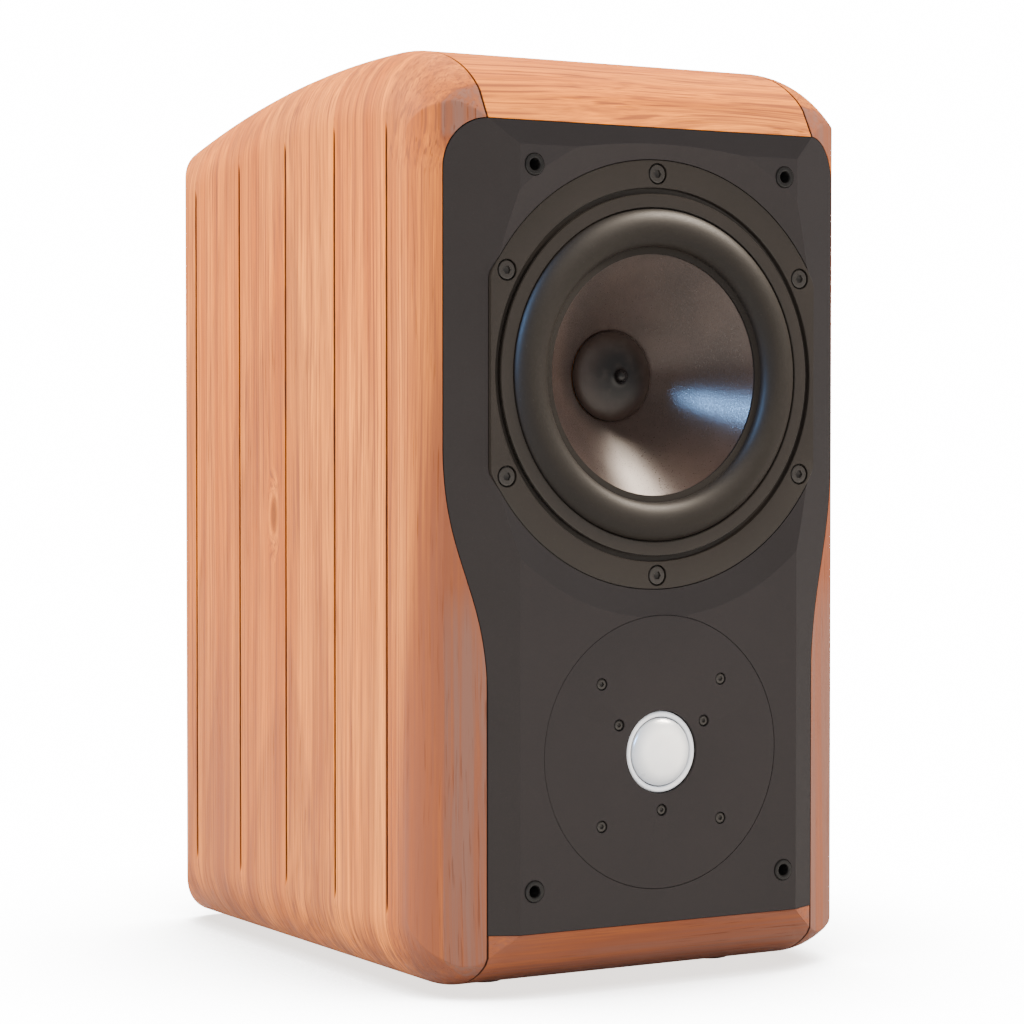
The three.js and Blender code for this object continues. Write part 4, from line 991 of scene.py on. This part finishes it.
def make_cone_material():
    """Brown polymer: turned rings from the distance to the axis, fine specks and slow patches of tone."""
    material, tree, output = new_material("spun cone polymer")
    place = node(tree, "TexCoord").outputs["Object"]
    away = node(tree, "CombineXYZ", {0: off_axis(tree, place, woofer_z)}).outputs[0]
    rings = noise(tree, away, 2600.0, 2.0, 0.7).outputs["Fac"]
    grain = noise(tree, place, 1500.0, 2.0, 0.7).outputs["Fac"]
    slow = noise(tree, place, 30.0, 2.0).outputs["Fac"]
    deep_brown, brown = (0.028, 0.0172, 0.0138, 1), (0.044, 0.0275, 0.022, 1)
    colour = blend_colours(tree, span(tree, slow, 0.3, 0.7), deep_brown, brown)
    colour = blend_colours(tree, span(tree, grain, 0.62, 0.8, 0.0, 0.5), colour, (0.12, 0.1, 0.09, 1))
    height = plus(tree, times(tree, rings, 0.6), times(tree, grain, 0.8))
    bump = node(tree, "Bump", {"Strength": 0.6, "Distance": 0.0001, "Height": height})
    surface = node(tree, "BsdfPrincipled", {
        "Base Color": colour,
        "Roughness": span(tree, grain, 0.3, 0.7, 0.27, 0.5),
        "Metallic": 0.25,
        "Specular IOR Level": 0.75,
        "Anisotropic": 0.94,
        "Anisotropic Rotation": 0.25,
        "Normal": bump.outputs[0],
        "Tangent": node(tree, "Tangent", direction_type="RADIAL", axis="Y").outputs[0],
    })
    plug(tree, output.inputs["Surface"], surface.outputs[0])
    return material


def make_cone():
    """A straight shell from the surround's lip to the voice coil's neck."""
    thick = 1.2 * mm
    steps = np.linspace(0, 1, 30)[:, None]
    rim, neck = np.array([lip_inner, cone_rim_y]), np.array([neck_radius, cone_neck_y])
    front = rim + (neck - rim) * steps
    rear = front[::-1] + [0, thick * 1.5]
    outer = [[56 * mm, cone_rim_y + thick], [56 * mm, cone_rim_y]]
    piece = turned("woofer_cone_spun", np.concatenate([front, rear, outer]), woofer_z, 224)
    finished(piece, "woofer_moving", "cone", make_cone_material(), "woofer_cone")
    window_reflects_in.objects.link(piece)


make_cone()


def make_cap_material():
    """Smoked plastic with a painted reflection: nearly black in the middle, where a dark reflection is painted,
    and brown like the cone towards the rim, by the distance to the axis."""
    material, tree, output = new_material("smoked cap painted reflection")
    place = node(tree, "TexCoord").outputs["Object"]
    rim = span(tree, off_axis(tree, place, woofer_z), 7 * mm, 19.5 * mm)
    slow = noise(tree, place, 160.0, 3.0).outputs["Fac"]
    # Painted reflection: the cap's middle is darkened as if it reflected a dark room, fading to the cone's brown
    # at the rim. The slow patches after it are the cap's own tone.
    cap_tone_painted_reflection = blend_colours(tree, rim, (0.006, 0.005, 0.005, 1), (0.024, 0.0155, 0.0125, 1))
    cap_tone_painted_reflection = blend_colours(tree, span(tree, slow, 0.45, 0.75, 0.0, 0.3), cap_tone_painted_reflection, (0.034, 0.026, 0.022, 1))
    dimples = noise(tree, place, 900.0).outputs["Fac"]
    bump = node(tree, "Bump", {"Strength": 0.2, "Distance": 0.00002, "Height": dimples})
    surface = node(tree, "BsdfPrincipled", {
        "Base Color": cap_tone_painted_reflection,
        "Roughness": span(tree, slow, 0.2, 0.8, 0.3, 0.4),
        "Specular IOR Level": 0.35,
        "Normal": bump.outputs[0],
    })
    plug(tree, output.inputs["Surface"], surface.outputs[0])
    return material


def make_cap():
    """A shallow ellipse over the neck with a step and a small round nub in its middle."""
    rim_y, tall = cone_neck_y - 0.6 * mm, 7 * mm
    angle = np.linspace(math.pi / 2, 0.25, 24)
    front = np.stack([(neck_radius - 0.05 * mm) * np.sin(angle), rim_y - tall * np.cos(angle)], 1)
    top = front[-1, 1]
    nub = np.linspace(math.pi / 2, 0, 10)
    ball = np.stack([2.8 * mm * np.sin(nub), top - 1.2 * mm - 2.6 * mm * np.cos(nub)], 1)
    front = np.concatenate([front, [[3.4 * mm, top - 0.4 * mm]], ball])
    rear_y = rim_y + 1 * mm - tall * np.cos(angle[::-1])
    rear = np.stack([(neck_radius - 1.3 * mm) * np.sin(angle[::-1]), rear_y], 1)
    rear[0, 0] = 0
    front[-1, 0] = 0
    profile = np.concatenate([front[::-1], rear[::-1]])
    piece = turned("woofer_dust_cap_gloss", profile, woofer_z, 128, angle=40)
    finished(piece, "woofer_moving", "black_plastic", make_cap_material(), "woofer_dust_cap")
    window_reflects_in.objects.link(piece)


make_cap()

# ---------------------------------------------------------------- screws
# Machine screws of blackened steel with a round head and a hexagon socket, each sunk in its counterbore: six
# round the woofer, four round the tweeter and three smaller ones that hold the tweeter's motor.

oxide = {"mottle": 0.4, "grain": 0.0002, "relief": 0.00002, "metallic": 0.2}
black_steel = stippled("black oxide", (0.024, 0.021, 0.019), 0.4, **oxide)


def make_screw(name, x, z, face, head, tall, shank, length):
    """Rings of points from the shank's end up over the head to the bottom of the socket. The socket's rings
    are hexagons: their radius is the flat's distance over the cosine of the angle from the flat's middle."""
    angle = np.linspace(0, 2 * math.pi, 72, endpoint=False)
    hexagon = 1 / np.cos(np.mod(angle, math.pi / 3) - math.pi / 6)
    socket = head * 0.42
    rings = [
        (0, 0, face + tall + length), (shank, 0, face + tall + length), (shank, 0, face + tall),
        (head - 0.1 * mm, 0, face + tall), (head, 0, face + tall - 0.1 * mm), (head, 0, face + 0.5 * mm),
        (head - 0.12 * mm, 0, face + 0.2 * mm), (head - 0.4 * mm, 0, face + 0.03 * mm),
        (head - 0.7 * mm, 0, face),
        (socket + 0.08 * mm, 1, face), (socket, 1, face + 0.08 * mm), (socket * 0.97, 1, face + tall * 0.6),
        (0, 0, face + tall * 0.75),
    ]
    radius = np.array([size * (hexagon if is_hexagon else 1 + 0 * angle) for size, is_hexagon, _ in rings])
    depth = np.array([[y] for _, _, y in rings]) + 0 * radius
    grid = np.stack([x + radius * np.cos(angle), depth, z + radius * np.sin(angle)], -1)
    return solid(name, grid, angle=35)


screw_sizes = {
    "woofer_screw": (woofer_face + 0.1 * mm, 4 * mm, 2.2 * mm, 2 * mm, 13 * mm),
    "tweeter_screw": (front_y + 0.2 * mm, 2.3 * mm, 1.6 * mm, 1.2 * mm, 11 * mm),
    "tweeter_motor_screw": (front_y + 0.3 * mm, 2.1 * mm, 1.5 * mm, 1.2 * mm, 2 * mm),
}
for kind, bolts in (("woofer_screw", woofer_bolts), ("tweeter_screw", tweeter_bolts)):
    for number, (bolt_x, bolt_z) in enumerate(bolts, 1):
        screw = make_screw(f"{kind}_{number}_head", bolt_x, bolt_z, *screw_sizes[kind])
        finished(screw, "cabinet", "black_steel", black_steel, f"{kind}_{number}")
for number, (bolt_x, bolt_z) in enumerate(inner_bolts, 1):
    kind = "tweeter_motor_screw"
    screw = make_screw(f"{kind}_{number}", bolt_x, bolt_z, *screw_sizes[kind])
    finished(screw, "cabinet", "black_steel", black_steel)

# ---------------------------------------------------------------- tweeter
# A round plate in the same charcoal lacquer, let in flush, with a coated silk dome in a pale ring.

dome_radius, dome_tall, silk_thick = 15 * mm, 5 * mm, 0.6 * mm
dome_rim_y = front_y + 2 * mm


def make_plate():
    """A disc with the dome's hole, counterbored for its screws."""
    back = front_y + plate_thick
    hole = 18.2 * mm
    profile = [[hole, back], [hole, front_y], [plate_radius, front_y], [plate_radius, back]]
    piece = turned("tweeter_plate_lacquered", eased(profile, 0.35 * mm), tweeter_z, 224)
    cutters = []
    for bolts, wide in ((tweeter_bolts, 2.75 * mm), (inner_bolts, 2.7 * mm)):
        bore = stepped(front_y - 1 * mm, (wide, front_y + 2.1 * mm), (1.5 * mm, back + 1 * mm))
        for x, z in bolts:
            cutters.append(turned("bore", bore, z, 40, x=x))
    carve(piece, *cutters)
    finished(piece, "cabinet", "charcoal_lacquer", charcoal, "tweeter_plate")
    keep_from_above(piece)


def make_silk(name, colour, roughness):
    """Coated silk: a fine weave under a pearl coat, with painted shade making it greyer towards the dome's glued
    rim.
    """
    material, tree, output = new_material(name)
    place = node(tree, "TexCoord").outputs["Object"]
    threads, radians_per_metre = [], 9000.0
    for axis in (0, 2):
        run = node(tree, "SeparateXYZ", {0: place}).outputs[axis]
        threads.append(calc(tree, "SINE", times(tree, run, radians_per_metre)))
    weave = times(tree, *threads)
    slow = noise(tree, place, 120.0, 2.0).outputs["Fac"]
    tint = blend_colours(tree, span(tree, slow, 0.3, 0.7), (*colour, 1), (*(np.array(colour) * 0.95), 1))
    away = off_axis(tree, place, tweeter_z)
    # Painted shade: the dome turns bluish grey towards its rim, standing for the shading of its curve.
    painted_rim_shade = span(tree, away, 8.5 * mm, dome_radius, 0.0, 0.75)
    on_dome = span(tree, away, dome_radius + 0.1 * mm, dome_radius + 0.7 * mm, 1.0, 0.0)
    tint = blend_colours(tree, times(tree, painted_rim_shade, on_dome), tint, (0.36, 0.40, 0.46, 1))
    bump = node(tree, "Bump", {"Strength": 0.15, "Distance": 0.00003, "Height": weave})
    surface = node(tree, "BsdfPrincipled", {
        "Base Color": tint,
        "Roughness": span(tree, slow, 0.2, 0.8, roughness - 0.05, roughness + 0.06),
        "Metallic": 0.08,
        "Coat Weight": 0.3,
        "Coat Roughness": 0.25,
        "Normal": bump.outputs[0],
    })
    plug(tree, output.inputs["Surface"], surface.outputs[0])
    return material


dome_silk = make_silk("pearl dome", (0.99, 0.985, 0.98), 0.32)
ring_silk = make_silk("silver ring", (0.78, 0.80, 0.84), 0.36)


def make_dome():
    """A shell under a shallow ellipse, which goes from the rim to the middle as its angle falls to zero."""
    angle = np.linspace(math.pi / 2, 0, 36)
    front = np.stack([dome_radius * np.sin(angle), dome_rim_y - dome_tall * np.cos(angle)], 1)
    rear = np.stack([(dome_radius - silk_thick) * np.sin(angle), front[:, 1] + silk_thick], 1)
    front[-1, 0] = rear[-1, 0] = 0
    piece = turned("tweeter_dome_silk", np.concatenate([front[::-1], rear]), tweeter_z, 160, angle=50)
    finished(piece, "tweeter_moving", "silver_silk", dome_silk, "tweeter_dome")
    window_reflects_in.objects.link(piece)


def make_ring():
    """A half round of 1.15 mm between the dome and the plate, on a short skirt."""
    inner, outer = 15.3 * mm, 17.9 * mm
    half, middle = (outer - inner) / 2, (outer + inner) / 2
    angle = np.linspace(0, math.pi, 20)
    front = np.stack([middle + half * np.cos(angle), dome_rim_y - half * np.sin(angle)], 1)
    profile = np.concatenate([[[outer, dome_rim_y + 1.2 * mm]], front, [[inner, dome_rim_y + 1.2 * mm]]])
    piece = turned("tweeter_surround_ring", profile, tweeter_z, 160, angle=50)
    piece.data.materials.append(ring_silk)
    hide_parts("tweeter_surround")
    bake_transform(piece)
    flexes(piece)


make_plate()
make_dome()
make_ring()

# ---------------------------------------------------------------- back panel
# A painted board let in between the cheeks, with holes for the port and the terminal cup. The brace inside
# keeps its plain form.

board_paint = stippled("painted board", (0.36, 0.24, 0.15), 0.55, mottle=0.3, grain=0.0008)
back_outer, back_inner = 134.5 * mm, 112.5 * mm
port_z, cup_z = 306 * mm, 92 * mm


def make_back_panel():
    """A board with the flared hole of the port and the square hole of the terminal cup."""
    low, high = baffle_bottom, 371.7 * mm
    shape = np.array([[-panel_half, low], [panel_half, low], [panel_half, high], [-panel_half, high]])
    piece = prism("back_panel_board", shape, back_inner, back_outer)
    inside, outside = back_inner - 1 * mm, back_outer + 1 * mm
    bore = stepped(inside, (28.8 * mm, back_outer - 12.3 * mm), (38.3 * mm, outside))
    cup = rectangle(48.3 * mm, 38.3 * mm) + [0, cup_z]
    cutters = [turned("bore", bore, port_z, 96), prism("cup_hole", cup, inside, outside)]
    carve(piece, *cutters)
    finished(piece, "cabinet", "board", board_paint, "back_panel")


make_back_panel()

# ---------------------------------------------------------------- port, terminal cup and posts
# A moulded port with a flared mouth, a moulded cup and two binding posts, each a brass stud with a loose
# washer and a fluted cap that screws down on it.

moulded = stippled("moulded black", (0.012, 0.0115, 0.0115), 0.45, mottle=0.25, grain=0.0004, specular=0.3)
polish = {"mottle": 0.15, "grain": 0.0003, "relief": 0.00001, "metallic": 1.0}
brass = stippled("polished brass", (0.72, 0.50, 0.2), 0.22, **polish)
red_moulded = stippled("moulded red", (0.42, 0.02, 0.018), 0.3, mottle=0.15, grain=0.0004, relief=0.00002)


def make_port():
    """The tube's wall with a quarter-circle flare out to the lip."""
    lip_y = back_outer + 0.3 * mm
    end = lip_y + 3 * mm
    tube_inner, tube_outer, tube_end = 26 * mm, 28.5 * mm, end - 120 * mm
    flare_round, lip_radius, lip_ease = 12 * mm, 46 * mm, 0.8 * mm
    mouth = tube_inner + flare_round
    angle = np.linspace(math.pi, math.pi / 2, 20)
    flare_y = end - flare_round + flare_round * np.sin(angle)
    flare = np.stack([mouth + flare_round * np.cos(angle), flare_y], 1)
    outside = [
        [tube_inner, tube_end], [tube_outer, tube_end], [tube_outer, back_outer - 12 * mm],
        [mouth, back_outer - 1 * mm], [mouth, lip_y], [lip_radius, lip_y], [lip_radius, end - lip_ease],
        [lip_radius - lip_ease, end],
    ]
    piece = turned("port_tube_moulded", np.concatenate([outside, flare[::-1]]), port_z, 128)
    finished(piece, "cabinet", "black_plastic", moulded, "port_tube")


make_port()


def rounded_box(half_x, half_z, radius):
    """A rectangle in x and z with round corners, listed round."""
    angle = np.linspace(0, math.pi / 2, 10)
    corners = []
    for k, (sx, sz) in enumerate(((1, 1), (-1, 1), (-1, -1), (1, -1))):
        turn = angle + k * math.pi / 2
        x = sx * (half_x - radius) + radius * np.cos(turn)
        corners.append(np.stack([x, sz * (half_z - radius) + radius * np.sin(turn)], 1))
    return np.concatenate(corners)


def make_cup():
    """Rounded rectangles one behind another: out over the flange, in at the mouth, down to the floor, and
    back outside the walls."""
    flange, floor_y = back_outer + 0.3 * mm, 110.5 * mm
    layers = [
        (57, 47, 6, flange), (57, 47, 6, flange + 2.4 * mm), (56.4, 46.4, 5.6, flange + 3 * mm),
        (45.8, 35.8, 6, flange + 3 * mm), (45, 35, 5.6, flange + 2.2 * mm), (44, 34, 5, floor_y + 2 * mm),
        (42, 32, 4, floor_y), (0.01, 0.01, 0.004, floor_y),
    ]
    outer = [
        (0.01, 0.01, 0.004, floor_y - 3 * mm), (47, 37, 6, floor_y - 3 * mm),
        (48, 38, 6, floor_y), (48, 38, 6, flange),
    ]
    rings = []
    for half_x, half_z, radius, y in outer + layers:
        shape = rounded_box(half_x * mm, half_z * mm, radius * mm)
        rings.append(np.stack([shape[:, 0], np.full(len(shape), y), shape[:, 1] + cup_z], 1))
    piece = solid("terminal_cup_moulded", np.stack(rings), angle=30)
    finished(piece, "cabinet", "black_plastic", moulded, "terminal_cup")


make_cup()


def make_post(name, x, cap_material, slot_name):
    """A stud with a collar, a loose washer, and a fluted cap whose radius ripples round its axis."""
    collar = 110.8 * mm
    washer_y = collar + 3.3 * mm
    cap_y = washer_y + 1.5 * mm
    cap_end = cap_y + 14 * mm
    stud = stepped(98.5 * mm, (3 * mm, collar), (9 * mm, collar + 3 * mm), (3 * mm, cap_end - 3 * mm))
    piece = turned(f"{name}_stud_brass", eased(stud, 0.3 * mm, closed=False), cup_z, 64, x=x)
    finished(piece, "cabinet", "brass", brass, f"{name}_stud")
    washer_end = washer_y + 1.2 * mm
    washer = [[3.4 * mm, washer_y], [7 * mm, washer_y], [7 * mm, washer_end], [3.4 * mm, washer_end]]
    colour = name.split("_")[0]
    piece = turned(f"{name}_washer_brass", eased(washer, 0.25 * mm), cup_z, 64, x=x)
    finished(piece, f"{colour}_washer", "brass", brass, f"{name}_washer")
    bore_end = cap_end - 2 * mm
    cap_radius, thread_radius, hole_radius = 7.5 * mm, 3.3 * mm, 2.1 * mm
    shell = [[thread_radius, cap_y], [cap_radius, cap_y], [cap_radius, cap_end], [hole_radius, cap_end]]
    shell = eased([*shell, [hole_radius, bore_end], [thread_radius, bore_end]], 0.7 * mm, steps=5)
    angle = np.linspace(0, 2 * math.pi, 192, endpoint=False)
    radius = np.repeat(shell[:, :1], len(angle), 1)
    ripple = 0.45 * mm * (0.5 - 0.5 * np.cos(18 * angle))
    radius = radius - ripple * np.clip((radius - 6.5 * mm) / (0.8 * mm), 0, 1)
    depth = np.repeat(shell[:, 1:], len(angle), 1)
    grid = np.stack([x + radius * np.cos(angle), depth, cup_z + radius * np.sin(angle)], -1)
    piece = solid(f"{name}_cap_fluted", grid, wrap=True, angle=40)
    finished(piece, f"{colour}_cap", slot_name, cap_material, f"{name}_cap")


make_post("red_post", -19 * mm, red_moulded, "red_plastic")
make_post("black_post", 19 * mm, moulded, "black_plastic")

# ---------------------------------------------------------------- feet
# Thin round pads of black rubber, glued under the bottom panel near its corners. Each is turned about Y and
# then stood up by swapping Y and Z.

upright = Matrix(((1, 0, 0, 0), (0, 0, 1, 0), (0, 1, 0, 0), (0, 0, 0, 1)))
for foot_name in ("front_left_foot", "front_right_foot", "rear_left_foot", "rear_right_foot"):
    low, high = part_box(foot_name)
    middle = (low + high) / 2
    foot_profile = eased(stepped(low.z, (9 * mm, high.z)), 0.4 * mm, closed=False)
    pad = turned(f"{foot_name}_pad", foot_profile, 0, 64)
    pad.data.transform(Matrix.Translation((middle.x, middle.y, 0)) @ upright)
    pad.data.flip_normals()
    finished(pad, "cabinet", "rubber", rubber, foot_name)

# ---------------------------------------------------------------- inside pieces
# The woofer's and the tweeter's motors, the coils, the spider, the brace and the crossover keep their form.

plain_steel = stippled("plain steel", (0.4, 0.4, 0.41), 0.35, metallic=0.9)
ferrite = stippled("ferrite", (0.06, 0.06, 0.065), 0.7)
enamelled_wire = stippled("enamelled wire", (0.5, 0.2, 0.08), 0.35, metallic=0.7)
inside_looks = {
    "woofer_top_plate": plain_steel,
    "woofer_back_plate": plain_steel,
    "woofer_magnet": ferrite,
    "tweeter_magnet": ferrite,
    "woofer_voice_coil": enamelled_wire,
    "tweeter_coil": enamelled_wire,
    "woofer_spider": stippled("spider cloth", (0.35, 0.27, 0.12), 0.85, mottle=0.5),
    "window_brace": board_paint,
    "crossover_board": stippled("circuit green", (0.03, 0.12, 0.05), 0.5),
    "tweeter_rear_chamber": moulded,
}
for name, look in inside_looks.items():
    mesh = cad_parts[name].data
    mesh.materials.clear()
    mesh.materials.append(look)
